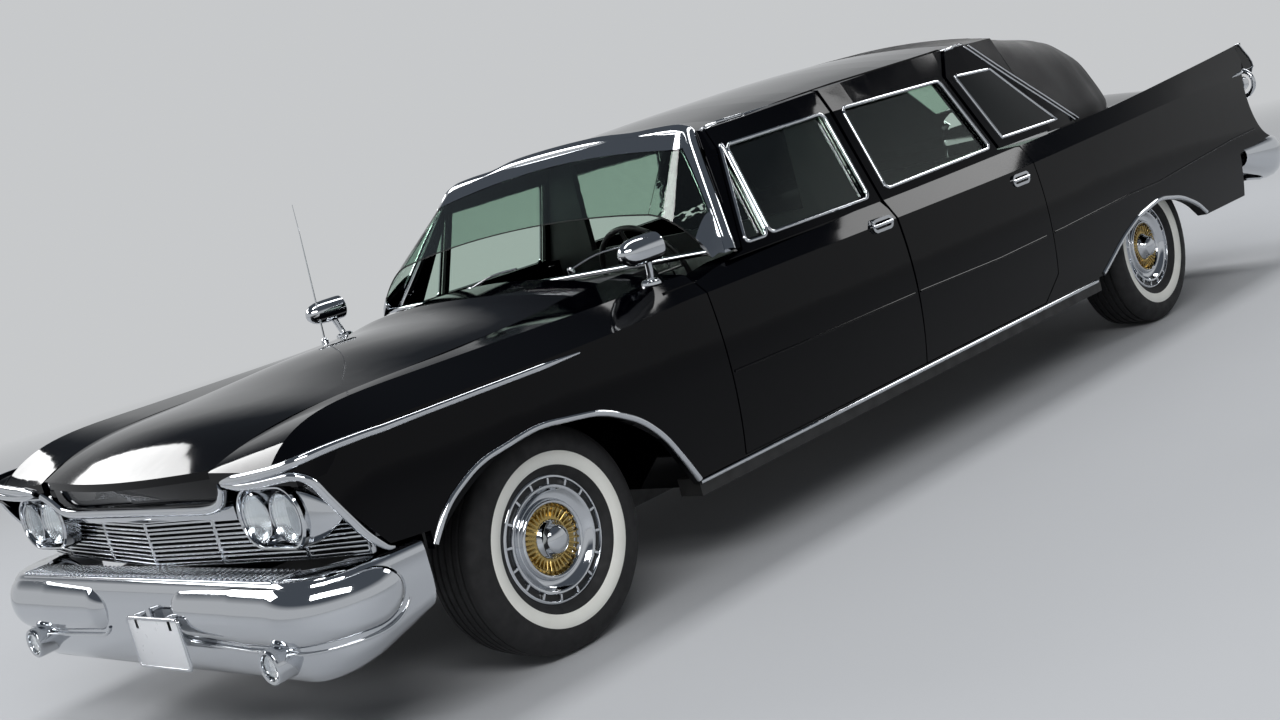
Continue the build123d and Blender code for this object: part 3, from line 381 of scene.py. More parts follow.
# Textures that raise a surface: node, its properties and the output that gives the height
GRAINS = {
    "noise": ("ShaderNodeTexNoise", {}, "Fac"),
    "cells": ("ShaderNodeTexVoronoi", {"feature": "DISTANCE_TO_EDGE"}, "Distance"),
    "flutes": ("ShaderNodeTexWave", {"bands_direction": "X"}, "Fac"),
    "ribs": ("ShaderNodeTexWave", {"bands_direction": "Z"}, "Fac"),
}


def new_material(name, base, rough, metal=0.0, wander=None, tone=None, bump=None, **inputs):
    """A material from its row; returns it with its tree, its shader and object coordinates."""
    material = bpy.data.materials.new(name)
    material.use_nodes = True
    material.diffuse_color = rgb(base)
    tree = material.node_tree
    shader = wire(tree, tree.nodes["Principled BSDF"], Base_Color=rgb(base), Roughness=rough, Metallic=metal, **inputs)
    place = add_node(tree, "ShaderNodeTexCoord").outputs["Object"]
    if wander:
        wire(tree, shader, Roughness=wandering(tree, place, *wander))
    if tone:
        size, detail, first, second = tone
        stain = add_node(tree, "ShaderNodeTexNoise", Vector=place, Scale=per_mm(size), Detail=detail)
        mix = add_node(tree, "ShaderNodeMix", {"data_type": "RGBA"}, _0=stain.outputs["Fac"], _6=rgb(first),
                       _7=rgb(second))
        wire(tree, shader, Base_Color=mix.outputs[2])
    if bump:
        grain, size, depth, strength, *detail = bump
        kind, props, output = GRAINS[grain]
        texture = add_node(tree, kind, props, Vector=place, Scale=per_mm(size), **dict(zip(("Detail",), detail)))
        ridge = add_node(tree, "ShaderNodeBump", Strength=strength, Distance=mm(depth), Height=texture.outputs[output])
        wire(tree, shader, Normal=ridge.outputs["Normal"])
    return material, tree, shader, place


# Each finish has the name of the real material, save two near-black ones for painted shade. wander holds the size in
# millimetres of patches and the two values between which their roughness wanders; tone the size, the detail and the
# two colours of stains; bump a grain, its size and depth in millimetres, its strength and, for noise, its detail.
MATERIALS = {
    # Nitrocellulose lacquer, rubbed out and waxed: deep navy black, mirror bright, faintly orange-peeled
    "black_lacquer": dict(base="010103", rough=0.05, wander=(260, 0.03, 0.07), bump=("noise", 9, 0.02, 0.35, 1.0),
                          IOR=1.33, Specular_IOR_Level=0.28),
    # Chromium plated steel: bright, slightly blue, with the soft waves of a pressed bar
    "plated_steel": dict(base="cdd0d4", rough=0.05, metal=1.0, wander=(120, 0.03, 0.09),
                         bump=("noise", 90, 0.6, 0.25, 1.0)),
    # Laminated safety glass with a green tint
    "tinted_glass": dict(base="cfe3d6", rough=0.0, wander=(400, 0.0, 0.02), Transmission_Weight=1.0, IOR=1.5),
    # Pressed lamp glass, clear and fluted on its inner face
    "clear_glass": dict(base="f6f9fa", rough=0.02, bump=("flutes", 60, 0.5, 0.4), Transmission_Weight=1.0, IOR=1.45),
    # Brass plated steel under clear lacquer: warm gold, a little softer than chrome
    "brass_plate": dict(base="b39b62", rough=0.2, metal=1.0, wander=(30, 0.16, 0.3)),
    # Stoved black enamel on a pressed wheel, half gloss
    "wheel_enamel": dict(base="0b0b0c", rough=0.35, wander=(50, 0.3, 0.45)),
    # White sidewall rubber, scrubbed clean, faintly yellowed
    "white_rubber": dict(base="e2e2dc", rough=0.6, tone=(60, 5.0, "e6e6e1", "d8d8d0")),
    # Dyed black upholstery hide, softly polished by use
    "seat_leather": dict(base="16161a", rough=0.42, wander=(90, 0.34, 0.5), bump=("cells", 3, 0.4, 0.6)),
    # Carbon black rubber, moulded, matt with a grey bloom
    "tyre_rubber": dict(base="111113", rough=0.75, wander=(40, 0.62, 0.82), bump=("noise", 2, 0.15, 0.4, 3.0)),
    # Brushed-on black chassis enamel over hot-rolled steel, dulled by dust
    "chassis_enamel": dict(base="141414", rough=0.5, wander=(60, 0.4, 0.68), bump=("noise", 6, 0.3, 0.4, 3.0)),
    # Sand-cast iron, grey and gritty
    "cast_iron": dict(base="4a4b4d", rough=0.6, metal=0.7, wander=(50, 0.5, 0.75),
                      bump=("noise", 3, 0.5, 0.7, 4.0)),
    # Mild steel pipe, browned by heat and weather
    "exhaust_steel": dict(base="6b5a4c", rough=0.55, metal=0.8, tone=(70, 6.0, "7d766d", "57402f"),
                          bump=("noise", 70, 0.4, 0.4, 6.0)),
    # Vacuum-silvered reflector glass: very bright, its images blurred by the pressed bowl
    "silvered_glass": dict(base="f4f6f8", rough=0.2, metal=1.0, wander=(40, 0.16, 0.26)),
    # Quarter glass laid on the body, opaque near-black: painted shade of a dark cabin behind it, with a real clear
    # reflection
    "cabin_shade_glass": dict(base="040706", rough=0.02, wander=(300, 0.01, 0.03), IOR=1.5),
    # Moulded red lamp glass, deep and glossy, ribbed inside
    "ruby_glass": dict(base="8e0a0c", rough=0.08, bump=("ribs", 20, 0.5, 0.5), Transmission_Weight=0.35, IOR=1.5),
    # Near-black matt sheet behind the grille: painted shade of the recess, so the gaps between the bars read dark
    "painted_shade_black": dict(base="050505", rough=0.8, wander=(30, 0.7, 0.9)),
    # White enamel on a bare pressed number plate, slightly scuffed
    "plate_enamel": dict(base="dfe1e4", rough=0.3, wander=(40, 0.25, 0.45)),
}
BACKDROP = "dcdee0"
FINISHES = {}  # the materials made so far, by name


def roof_finish():
    """Lacquer on the front of the roof, grained matt black hide behind the slanted edge moulding."""
    material, tree, shader, place = new_material("roof_finish", "0d0d0f", 0.5, IOR=1.33, Specular_IOR_Level=0.28)
    slant = Vector((0, 0.452, 0.475))  # at right angles to the edge moulding
    along = add_node(tree, "ShaderNodeVectorMath", {"operation": "DOT_PRODUCT"}, _0=place, _1=slant)
    hide = add_node(tree, "ShaderNodeMath", {"operation": "GREATER_THAN"}, _0=along.outputs["Value"],
                    _1=slant.dot(from_rear(0, -925, 1450))).outputs[0]
    tone = add_node(tree, "ShaderNodeMix", {"data_type": "RGBA"}, _0=hide, _6=rgb("010103"), _7=rgb("161618"))
    rough = add_node(tree, "ShaderNodeMix", {"data_type": "FLOAT"}, _0=hide, _2=0.05,
                     _3=wandering(tree, place, 180, 0.46, 0.62))
    grain = add_node(tree, "ShaderNodeTexVoronoi", {"feature": "DISTANCE_TO_EDGE"}, Vector=place, Scale=per_mm(4))
    raised = add_node(tree, "ShaderNodeMath", {"operation": "MULTIPLY"}, _0=grain.outputs["Distance"], _1=hide)
    ridge = add_node(tree, "ShaderNodeBump", Strength=0.8, Distance=mm(0.6), Height=raised.outputs[0])
    wire(tree, shader, Base_Color=tone.outputs[2], Roughness=rough.outputs[0], Normal=ridge.outputs["Normal"])
    return material


def finish(name):
    """The one copy of a material, made when it is first asked for."""
    if name not in FINISHES:
        FINISHES[name] = roof_finish() if name == "roof_finish" else new_material(name, **MATERIALS[name])[0]
    return FINISHES[name]


def studio_floor():
    """Matt pale sweep of painted board that fades into the backdrop far away."""
    material, tree, shader, place = new_material("studio_floor", "b4b6b9", 0.8, wander=(900, 0.74, 0.86))
    length = add_node(tree, "ShaderNodeVectorMath", {"operation": "LENGTH"}, _0=place)
    far = add_node(tree, "ShaderNodeMapRange", Value=length.outputs["Value"], From_Min=5.0, From_Max=13.0,
                   To_Min=0.0, To_Max=1.0)
    light = add_node(tree, "ShaderNodeLightPath").outputs
    seen = add_node(tree, "ShaderNodeMath", {"operation": "ADD"}, _0=light["Is Camera Ray"], _1=light["Is Glossy Ray"])
    seen = add_node(tree, "ShaderNodeMath", {"operation": "ADD", "use_clamp": True}, _0=seen.outputs[0],
                    _1=light["Is Transmission Ray"])
    share = add_node(tree, "ShaderNodeMath", {"operation": "MULTIPLY"}, _0=far.outputs["Result"], _1=seen.outputs[0])
    glow = add_node(tree, "ShaderNodeEmission", Color=rgb(BACKDROP), Strength=0.8)
    mix = add_node(tree, "ShaderNodeMixShader", Fac=share.outputs[0], _1=shader.outputs[0], _2=glow.outputs[0])
    wire(tree, tree.nodes["Material Output"], Surface=mix.outputs[0])
    return material


# Frame nodes by finish: those there is one of, and those with a left and a right one
NODE_FINISH = {
    "black_lacquer": ("cowl nose_panel front_fenders hood trunk_lid rear_quarters rear_deck", "front_door rear_door"),
    "roof_finish": ("roof roof_cover", ""),
    "tinted_glass": ("cabin_glass", "front_glass rear_glass"),
    "plated_steel": ("windscreen_frame grille headlamp_bezels front_bumper rear_bumper tail_lamps mirrors",
                     "front_handle rear_handle wheel_front wheel_rear"),
    "clear_glass": ("headlamps", ""),
    "seat_leather": ("front_seat rear_seat partition dashboard steering_wheel", ""),
    "tyre_rubber": ("", "tyre_front tyre_rear"),
    "chassis_enamel": ("chassis_frame floor_pan front_suspension rear_axle fuel_tank radiator", ""),
    "cast_iron": ("engine driveline", "knuckle"),
    "exhaust_steel": ("exhaust", ""),
}


class LIMO_OT_finishes(bpy.types.Operator):
    """Gives every frame piece its finish"""
    bl_idname = "limo.finishes"
    bl_label = "Finishes"

    def execute(self, context):
        for make, (single, paired) in NODE_FINISH.items():
            for node in single.split() + [f"{name}_{side}" for name in paired.split() for side in ("left", "right")]:
                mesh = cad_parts[node].data
                mesh.materials.clear()
                mesh.materials.append(finish(make))
        return {"FINISHED"}


# Wheels. Profiles hold (outward, radius) in millimetres from the wheel's centre plane.
front_track = 1.570
rear_track = 1.585
tyre_radius = 0.346
COVER = ((58, 188), (70, 195), (79, 197), (85, 194), (88, 187), (87, 184), (74, 183), (74, 165), (86, 164), (89, 161),
         (86, 154), (76, 146), (69, 136), (66, 124), (70, 121), (80, 119), (84, 114), (81, 108), (70, 103),
         (63, 100), (60, 96), (58, 62), (74, 60), (80, 54), (88, 48), (104, 42), (112, 32), (117, 18), (119, 6),
         (119, 0.4))
SLOT_WELL = ((74.6, 182.5), (75.2, 174), (74.6, 165.5))
BARREL = ((2, 0.4), (2, 60), (0, 158), (-20, 166), (-84, 178), (-89, 188), (-80, 192), (60, 190), (66, 178),
          (40, 172), (10, 164), (8, 60), (8, 0.4))
TURBINE = ((61, 99), (62, 97), (64, 84), (68, 70), (71, 62), (70, 59))
SIDEWALL = ((80, 192), (86, 198), (97, 208), (104, 221), (106, 222), (112, 240), (115, 261), (114, 263), (117, 280),
            (115, 300), (107, 320), (95, 334))
SHOULDER = (86, 341)
white_inner, white_outer, white_depth = 0.2215, 0.262, 0.06
tread_radius, tread_fall = 345.6, 4.5
groove_depth, groove_top, groove_foot = 8, 5, 3.5
slot_count = 16
slot_bridge = (13, 8, 20)
blade_count = 34
blade_size = (9, 5.4, 36)
blade_lean = math.radians(14)


def wheel_places():
    """Each wheel's row, side name, side sign and centre."""
    for row, y, track in (("front", front_axle, front_track), ("rear", rear_axle, rear_track)):
        for name, side in (("left", 1), ("right", -1)):
            yield row, name, side, Vector((side * track / 2, y, tyre_radius))


class LIMO_OT_wheel_covers(bpy.types.Operator):
    """Builds the slotted chrome covers with their brass turbine rings"""
    bl_idname = "limo.wheel_covers"
    bl_label = "Wheel covers"

    def execute(self, context):
        for row, name, side, centre in wheel_places():
            at_slot = centre + Vector((side * mm(81), 0, mm(174)))
            at_blade = centre + Vector((side * mm(69), 0, mm(79)))
            parts = [softened(turned(COVER, 96, centre, side), 1.5, 2, 25)]
            for turn in angles(slot_count):
                bridge = spun(block(at_slot, slot_bridge), centre, "X", turn + math.pi / slot_count)
                parts.append(softened(bridge, 1.5))
            cover = joined(*parts)
            well, barrel = turned(SLOT_WELL, 96, centre, side), turned(BARREL, 48, centre, side)
            blades = [turned(TURBINE, 68, centre, side)]
            for turn in angles(blade_count):
                blade = spun(block(at_blade, blade_size), at_blade, "Y", side * blade_lean)
                blades.append(spun(blade, centre, "X", turn))
            turbine = softened(joined(*blades), 0.8, 1)
            for piece, part, make in ((cover, "wheel_cover", "plated_steel"), (well, "slot_well", "wheel_enamel"),
                                      (barrel, "wheel_rim", "wheel_enamel"),
                                      (turbine, "turbine_ring", "brass_plate")):
                finish_piece(piece, f"{part}_{row}_{name}", make, f"{row}_{name}_wheel")
            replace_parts(cover, f"wheel_{row}_{name}")
        return {"FINISHED"}


class LIMO_OT_tyres(bpy.types.Operator):
    """Builds the grooved tyres with their wide white walls"""
    bl_idname = "limo.tyres"
    bl_label = "Tyres"

    def execute(self, context):
        tread = [SHOULDER]
        for x in (63, 32, 0, -32, -63):
            top = tread_radius - (x / SHOULDER[0]) ** 2 * tread_fall
            tread += [(x + groove_top, top), (x + groove_foot, top - groove_depth),
                      (x - groove_foot, top - groove_depth), (x - groove_top, top)]
        tread.append((-SHOULDER[0], SHOULDER[1]))
        inner = [(-x, r) for x, r in reversed(SIDEWALL)]
        for row, name, side, centre in wheel_places():
            tyre = softened(turned(list(SIDEWALL) + tread + inner, 128, centre, side), 1.2, 1, 40)
            finish_piece(tyre, f"tyre_{row}_{name}_rubber", "tyre_rubber", f"{row}_{name}_wheel")
            tyre.data.materials.append(finish("white_rubber"))
            for face in tyre.data.polygons:
                away = face.center - centre
                if side * away.x > white_depth and white_inner < math.hypot(away.y, away.z) < white_outer:
                    face.material_index = 1
            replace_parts(tyre, f"tyre_{row}_{name}")
        return {"FINISHED"}


class LimousineSizes(bpy.types.PropertyGroup):
    """Sizes that a user may change."""
    camera_azimuth: FloatProperty(name="Camera azimuth", description="Turn of the view round the car",
                                  default=math.radians(46.562), subtype="ANGLE", unit="ROTATION")
    camera_elevation: FloatProperty(name="Camera elevation", description="How far the view looks down",
                                    default=math.radians(7.740), subtype="ANGLE", unit="ROTATION")
    camera_roll: FloatProperty(name="Camera roll", description="Tilt of the horizon",
                               default=math.radians(-15.036), subtype="ANGLE", unit="ROTATION")
    camera_lens: FloatProperty(name="Lens", description="Focal length on a 36 mm wide frame", default=45.09)
    camera_place: FloatVectorProperty(name="Camera place", description="Where the camera stands",
                                      default=(4.5199, -5.1002, 1.4323), unit="LENGTH")


# Side view lines, as (distance behind an axle, height) in millimetres; the windows' count from the front axle
FRONT_ARCH = ((-524, 400), (-524, 498), (-440, 610), (-300, 682), (-60, 712), (190, 676), (330, 606), (414, 528),
              (548, 334))
REAR_ARCH = ((-628, 322), (-405, 456), (-240, 520), (-20, 556), (190, 518), (345, 454), (432, 396))
WINDOWS = (("vent", "front", ((1084, 1000), (1198, 1000), (1232, 1318), (1222, 1318))),
           ("front", "front", ((1222, 1000), (1790, 1000), (1800, 1330), (1256, 1318))),
           ("rear", "rear", ((1918, 1008), (2639, 1022), (2575, 1326), (1930, 1330))))
window_margin = 7


class LIMO_OT_trim(bpy.types.Operator):
    """Lays the chrome mouldings along the arches, the sills and the door windows"""
    bl_idname = "limo.trim"
    bl_label = "Trim"

    def execute(self, context):
        for name, node, axle, arch in (("front", "front_fenders", front_axle, FRONT_ARCH),
                                       ("rear", "rear_quarters", rear_axle, REAR_ARCH)):
            both_sides(strip_on_side(surface_of(node), path_from(axle, arch), 20, 9), f"{name}_arch_trim")
        sill = [(front_axle + mm(550 + 40 * k), mm(330)) for k in range(66)]
        both_sides(strip_on_side(surface_of("floor_pan"), sill, 18, 10), "sill_trim")
        for name, door, corners in WINDOWS:
            points = [Vector(corner) for corner in corners]
            middle = sum(points, Vector((0, 0))) / 4
            path = path_from(front_axle, [p + (p - middle).normalized() * window_margin for p in points], 26, True)
            both_sides(strip_on_side(surface_of(f"{door}_door_left"), path, 13, 7, True), f"{name}_window_trim",
                       body=f"{door}_left_door")
        return {"FINISHED"}


# Bumper sections as (inset from the outermost line, height)
BUMPER_FACE = ((150, 226), (112, 238), (82, 262), (62, 294), (48, 334), (40, 382), (36, 440), (36, 516), (40, 538),
               (50, 551), (62, 556), (130, 556), (130, 547), (68, 544), (54, 520), (52, 400), (64, 334), (86, 290),
               (150, 238))
REAR_FACE = ((90, 388), (70, 392), (44, 404), (22, 428), (8, 462), (1, 500), (0, 540), (4, 572), (14, 594),
             (34, 608), (60, 612), (120, 612), (120, 602), (60, 600), (28, 588), (16, 560), (14, 500), (34, 430),
             (90, 398))
nose, tail = front_axle - front_overhang, rear_axle + rear_overhang


# How a blade climbs at its ends: the place along the car where the climb begins, its length, how far it lifts the
# foot, the height above which nothing is lifted, and how far below that the foot lies
RAISED_FOOT = (front_axle - 0.86, 0.328, 106, 420, 196)
RAISED_ENDS = (rear_axle + 1.33, -0.43, 120, 612, 224)


def raised(y, z, begin, length, climb, top, depth):
    """The height in millimetres of a blade's point, with the climb of its end."""
    return z + climb * min(1, max(0, (y - begin) / length)) * max(0, top - z) / depth


def plan_line(half, corner, inset, y_end, y_face, inward):
    """A wrapped bumper's outline at an inset: left leg, corner, face, corner and right leg."""
    leg_steps, bend_steps, face_steps, tighter = 8, 14, 12, 0.3
    x, y, r = mm(half - inset), y_face + inward * mm(inset), mm(corner - tighter * inset)
    left = [(x, y_end + (y + inward * r - y_end) * k / leg_steps) for k in range(leg_steps)]
    left += [(x - r + r * math.cos(a), y + inward * (r - r * math.sin(a)))
             for a in (math.pi / 2 * t for t in shares(bend_steps))]
    left += [((x - r) * (1 - k / face_steps), y) for k in range(1, face_steps)]
    return left + [(0, y)] + [(-px, py) for px, py in reversed(left)]


def wrapped_bar(section, half, corner, y_end, y_face, inward, rise):
    """A bumper blade: a closed section of (inset, height) rows swept along the outline."""
    plans = [plan_line(half, corner, inset, y_end, y_face, inward) for inset, _ in section]
    return lofted([[Vector((x, y, mm(raised(y, z, *rise)))) for (x, y), (_, z) in zip(places, section)]
                   for places in zip(*plans)])


def bulb_rings():
    """The torpedo bulb's rings, swept along the blade from a blunt end round the corner to where it closes."""
    level, face, side, bend, start = 458, -873, 960, 170, 206
    high, deep, blunt_end, swelling, closing = 88, 62, 80, 380, 130
    line = [from_front(start + d, face, level) for d in (0, 3, 9, 20, 36, 60)]
    line += [from_front(start + 14.6 * k, face, level) for k in range(5, 41)]
    line += [from_front(side - bend + bend * math.sin(a), face + bend - bend * math.cos(a), level)
             for a in (math.pi / 32 * k for k in range(1, 17))]
    line += [from_front(side, face + bend + 8 * k, level) for k in range(1, 13)]
    lengths = [0.0]
    for a, b in zip(line, line[1:]):
        lengths.append(lengths[-1] + (b - a).length * 1000)
    rings = []
    for i, (point, done) in enumerate(zip(line, lengths)):
        out = (line[min(i + 1, len(line) - 1)] - line[max(i - 1, 0)]).normalized().cross(Z)
        left = lengths[-1] - done
        size = mm(math.sqrt(max(0.0, 1 - (1 - min(done / blunt_end, 1)) ** 2))
                  * (0.84 + 0.16 * min(1, done / swelling))
                  * math.sqrt(max(0.0, 1 - (1 - min(left / closing, 1)) ** 2.2)))
        rings.append([point + Z * (math.sin(a) * high * size) + out * (math.cos(a) * deep * size)
                      for a in angles(40)])
    return rings


class LIMO_OT_front_bumper(bpy.types.Operator):
    """Builds the front bumper: a wrapped blade with torpedo bulbs, a ribbed shelf and lamp pods"""
    bl_idname = "limo.front_bumper"
    bl_label = "Front bumper"

    def execute(self, context):
        blade = wrapped_bar(BUMPER_FACE, 1026, 190, front_axle - mm(532), nose, 1, RAISED_FOOT)
        finish_piece(blade, "bumper_blade_front", angle=50)
        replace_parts(blade, "front_bumper")
        rings, bead = bulb_rings(), []
        both_sides(lofted(rings), "bumper_bulb")
        for ring in rings[3:-1]:
            middle = (ring[0] + ring[20]) / 2
            bead.append(Vector((middle.x, middle.y, ring[30].z - mm(9))) + (ring[0] - middle).normalized() * mm(24))
        both_sides(tube(bead, 5), "bulb_bead")
        ribs = [softened(block(from_front(15 + i * 30, -836, 559), (9, 78, 7)), 2.2) for i in range(27)]
        both_sides(joined(*ribs), "shelf_ribs")
        lip = smooth_path([from_front(x, -880, 551) for x in (-780, -300, 300, 780)], 8)
        finish_piece(tube(lip, 6), "shelf_lip")
        lamp = from_front(742, -934, 338)
        both_sides(round_form(((-120, 40), (-80, 47), (0, 50), (5, 49), (8, 45), (5, 38), (-8, 36), (-12, 34),
                               (-14, 0)), 48, lamp), "turn_lamp_pod")
        lens = round_form(((-12, 0), (-12, 35), (-4, 35), (1, 28), (4, 15), (5, 0)), 40, lamp)
        both_sides(lens, "turn_lamp_lens", "clear_glass")
        border = rounded(front_places((6, -942, 306), (314, -942, 306), (314, -942, 458), (6, -942, 458)), mm(14))
        finish_piece(moulding(border, -Y, 9, 4, True), "plate_frame")
        plate = softened(block(from_front(160, -940, 382), (304, 4, 148)), 1.2)
        finish_piece(plate, "number_plate_blank", "plate_enamel")
        for x in (60, 260):
            finish_piece(softened(block(from_front(x, -925, 445), (22, 34, 46)), 3), f"plate_stay_{x}")
        return {"FINISHED"}


class LIMO_OT_rear_bumper(bpy.types.Operator):
    """Builds the rear bumper: a deep blade wrapped round the tail, with overriders"""
    bl_idname = "limo.rear_bumper"
    bl_label = "Rear bumper"

    def execute(self, context):
        blade = wrapped_bar(REAR_FACE, 1012, 250, rear_axle + mm(900), tail, -1, RAISED_ENDS)
        finish_piece(blade, "bumper_blade_rear", angle=50)
        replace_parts(blade, "rear_bumper")
        rings = []
        wide, deep, foot, height = 34, 20, 396, 222
        for t in shares(12):
            size = math.sin(math.pi * (0.06 + 0.88 * t)) ** 0.5
            rings.append([from_rear(430 + wide * size * math.cos(a), 1462 + deep * size * math.sin(a),
                                    foot + height * t) for a in angles(24)])
        both_sides(lofted(rings), "overrider")
        return {"FINISHED"}


# Headlamps: lamp centres, and profiles as (outward, radius) in front of the lamp face
LAMPS = (("inner", 650), ("outer", 794))
LAMP_FACE = -790
LAMP_Z = 705
LAMP_HOUSING = ((-40, 80), (4, 79), (9, 82), (10, 87), (5, 92), (-60, 93), (-60, 84))
LAMP_BOWL = ((-28, 0), (-27, 22), (-20, 44), (-8, 60), (0, 66), (0, 69), (-30, 60), (-32, 0))
LAMP_RING = ((-2, 65), (4, 65.5), (7, 68), (5, 71), (-6, 72), (-6, 66))


def oval(outward, radius, centre=722, half=72, steps=20):
    """A level oval round both lamps, in front of the lamp face."""
    return [from_front(centre + end * half + radius * math.cos(a), LAMP_FACE - outward, LAMP_Z + radius * math.sin(a))
            for end in (1, -1) for a in (math.pi * (k / (steps - 1) - end / 2) for k in range(steps))]


class LIMO_OT_headlamps(bpy.types.Operator):
    """Builds the paired headlamps: silvered bowls, fluted lenses and one oval housing a side"""
    bl_idname = "limo.headlamps"
    bl_label = "Headlamps"

    def execute(self, context):
        housing = both_sides(lofted([oval(h, r) for h, r in LAMP_HOUSING], loop=True), "lamp_housing")
        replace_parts(housing, "headlamp_bezels")
        both_sides(lofted([oval(-34, 82), oval(-30, 82)]), "lamp_backplate")
        dome = [(2 + 12 * (1 - (r / 66) ** 2), r) for r in (0, 12, 24, 36, 48, 58, 66)]
        hollow = [(-1 + 11 * (1 - (r / 66) ** 2), r) for r in (65, 56, 44, 30, 16, 0)]
        for row, x in LAMPS:
            centre = from_front(x, LAMP_FACE, LAMP_Z)
            both_sides(round_form(LAMP_BOWL, 48, centre), f"lamp_bowl_{row}", "silvered_glass")
            both_sides(round_form(LAMP_RING, 56, centre, loop=True), f"lamp_ring_{row}")
            lens = both_sides(round_form(dome + hollow, 56, centre), f"lamp_lens_{row}", "clear_glass")
            if row == "inner":
                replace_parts(lens, "headlamps")
        path = smooth_path(front_places((812, -768, 705), (862, -766, 703), (910, -758, 700), (950, -748, 697),
                                        (984, -736, 694)), 5)
        rings = []
        for i, point in enumerate(path):
            size = mm(86 * (1 - (i / (len(path) - 1)) ** 1.6) + 4)
            rings.append([point + Vector((0, math.cos(a) * size * 26 / 90, math.sin(a) * size)) for a in angles(28)])
        both_sides(lofted(rings), "lamp_fairing")
        return {"FINISHED"}


class LIMO_OT_grille(bpy.types.Operator):
    """Rounds the grille's looped bars and sets the header moulding and a near-black baffle of painted shade behind
    them
    """
    bl_idname = "limo.grille"
    bl_label = "Grille"

    def execute(self, context):
        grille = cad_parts["grille"].data
        loops = mesh_piece([v.co for v in grille.vertices], [tuple(p.vertices) for p in grille.polygons])
        outwards(loops)
        bpy.ops.object.mode_set(mode="EDIT")
        bpy.ops.mesh.select_all(action="SELECT")
        bpy.ops.mesh.dissolve_limited(angle_limit=math.radians(1.5))
        bpy.ops.object.mode_set(mode="OBJECT")
        finish_piece(softened(loops, 2.2, 2, 40), "grille_loops")
        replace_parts(loops, "grille")
        half = front_places((0, -806, 738), (240, -806, 738), (420, -806, 739), (500, -808, 752), (545, -814, 782),
                            (580, -826, 812))
        header = moulding(smooth_path(flipped(half[1:]) + half, 8), (0, -1, 0.15), 34, 15)
        finish_piece(header, "grille_header")
        rings = [front_places((x, d, 552), (x, d, 830), (x, d + 6, 830), (x, d + 6, 552))
                 for x, d in ((-930, -640), (-840, -652), (0, -656), (840, -652), (930, -640))]
        # A near-black matt sheet behind the grille: painted shade of the recess behind the bars
        finish_piece(lofted(rings), "grille_shade_baffle", "painted_shade_black")
        return {"FINISHED"}


# The brow's lower and upper edge from the nose round the corner: x, distance behind the front axle, height
BROW_LOW = ((606, -842, 817), (650, -842, 813), (712, -842, 811), (800, -841, 815), (880, -839, 822),
            (944, -834, 827), (974, -822, 820), (988, -800, 797), (993, -774, 747), (995, -734, 678),
            (996, -693, 614), (996, -650, 570), (996, -626, 560))
BROW_HIGH = ((606, -842, 824), (655, -842, 829), (720, -842, 833), (800, -841, 840), (880, -838, 848),
             (944, -830, 857), (974, -812, 863), (988, -780, 867), (992, -728, 869), (993, -660, 869),
             (994, -600, 868))


class LIMO_OT_brows(bpy.types.Operator):
    """Lays the two chrome strips that part at the nose: one over the brow, one down the mouth"""
    bl_idname = "limo.brows"
    bl_label = "Brow strips"

    def execute(self, context):
        low, high = front_places(*BROW_LOW), front_places(*BROW_HIGH)
        bands = []
        corner, side, end = 5, 8, 9  # the rows where the band turns the corner, has reached the side and ends
        for i, (a, b) in enumerate(zip(low[:end + 1], high)):
            if i >= side - 1:
                a = Vector((b.x + mm(1), b.y, max(a.z, b.z - mm(60))))
            inward = Y if i < corner else Vector((-0.75, 0.65, 0)) if i < side else -X
            inward = inward * mm(85 if i < end else 20)
            bands.append([a, b, b + inward / 2 + Z * mm(3), b + inward - Z * mm(6), a + inward])
        both_sides(lofted(bands), "brow_band", "black_lacquer")
        low_out = [(0, -1, 0)] * 5 + [(0.4, -0.9, 0)] + [(1, -0.9, 0)] * 2 + [(1, -0.6, -0.1)] * 5
        high_out = [(0, -1, 0.4)] * 5 + [(0.4, -0.9, 0.4), (0.8, -0.7, 0.35), (1, -0.3, 0.3)] + [(1, 0, 0.3)] * 3
        # The upper strip goes on along the top of the wing
        wing = surface_of("front_fenders")
        top, level_end, fall = 867, -470, 0.006
        for d in range(-560, 176, 35):
            place = on_side(wing, front_axle + mm(d), mm(top - max(0, d - level_end) * fall))
            if place:
                high.append(place[0])
                high_out.append((1, 0, 0.25))
        # Columns: name, line, normals, steps, height, width, its loss along the line, taper at the start and the end
        for name, places, outs, steps, height, wide, loss, (a, rise), (b, fall) in (
                ("mouth_strip", low, low_out, 5, 12, 24, 0, (0.35, 12), (0.3, 14)),
                ("brow_strip", high, high_out, 4, 13, 32, 12, (0.4, 10), (0.25, 24))):
            line, normals = smooth_path(places, steps), smooth_path([Vector(out) for out in outs], steps)
            widths = [(wide - loss * min(1, i / 60)) * min(1, a + i / rise) * min(1, b + (len(line) - i) / fall)
                      for i in range(len(line))]
            both_sides(moulding(line, normals, widths, height), name)
        return {"FINISHED"}


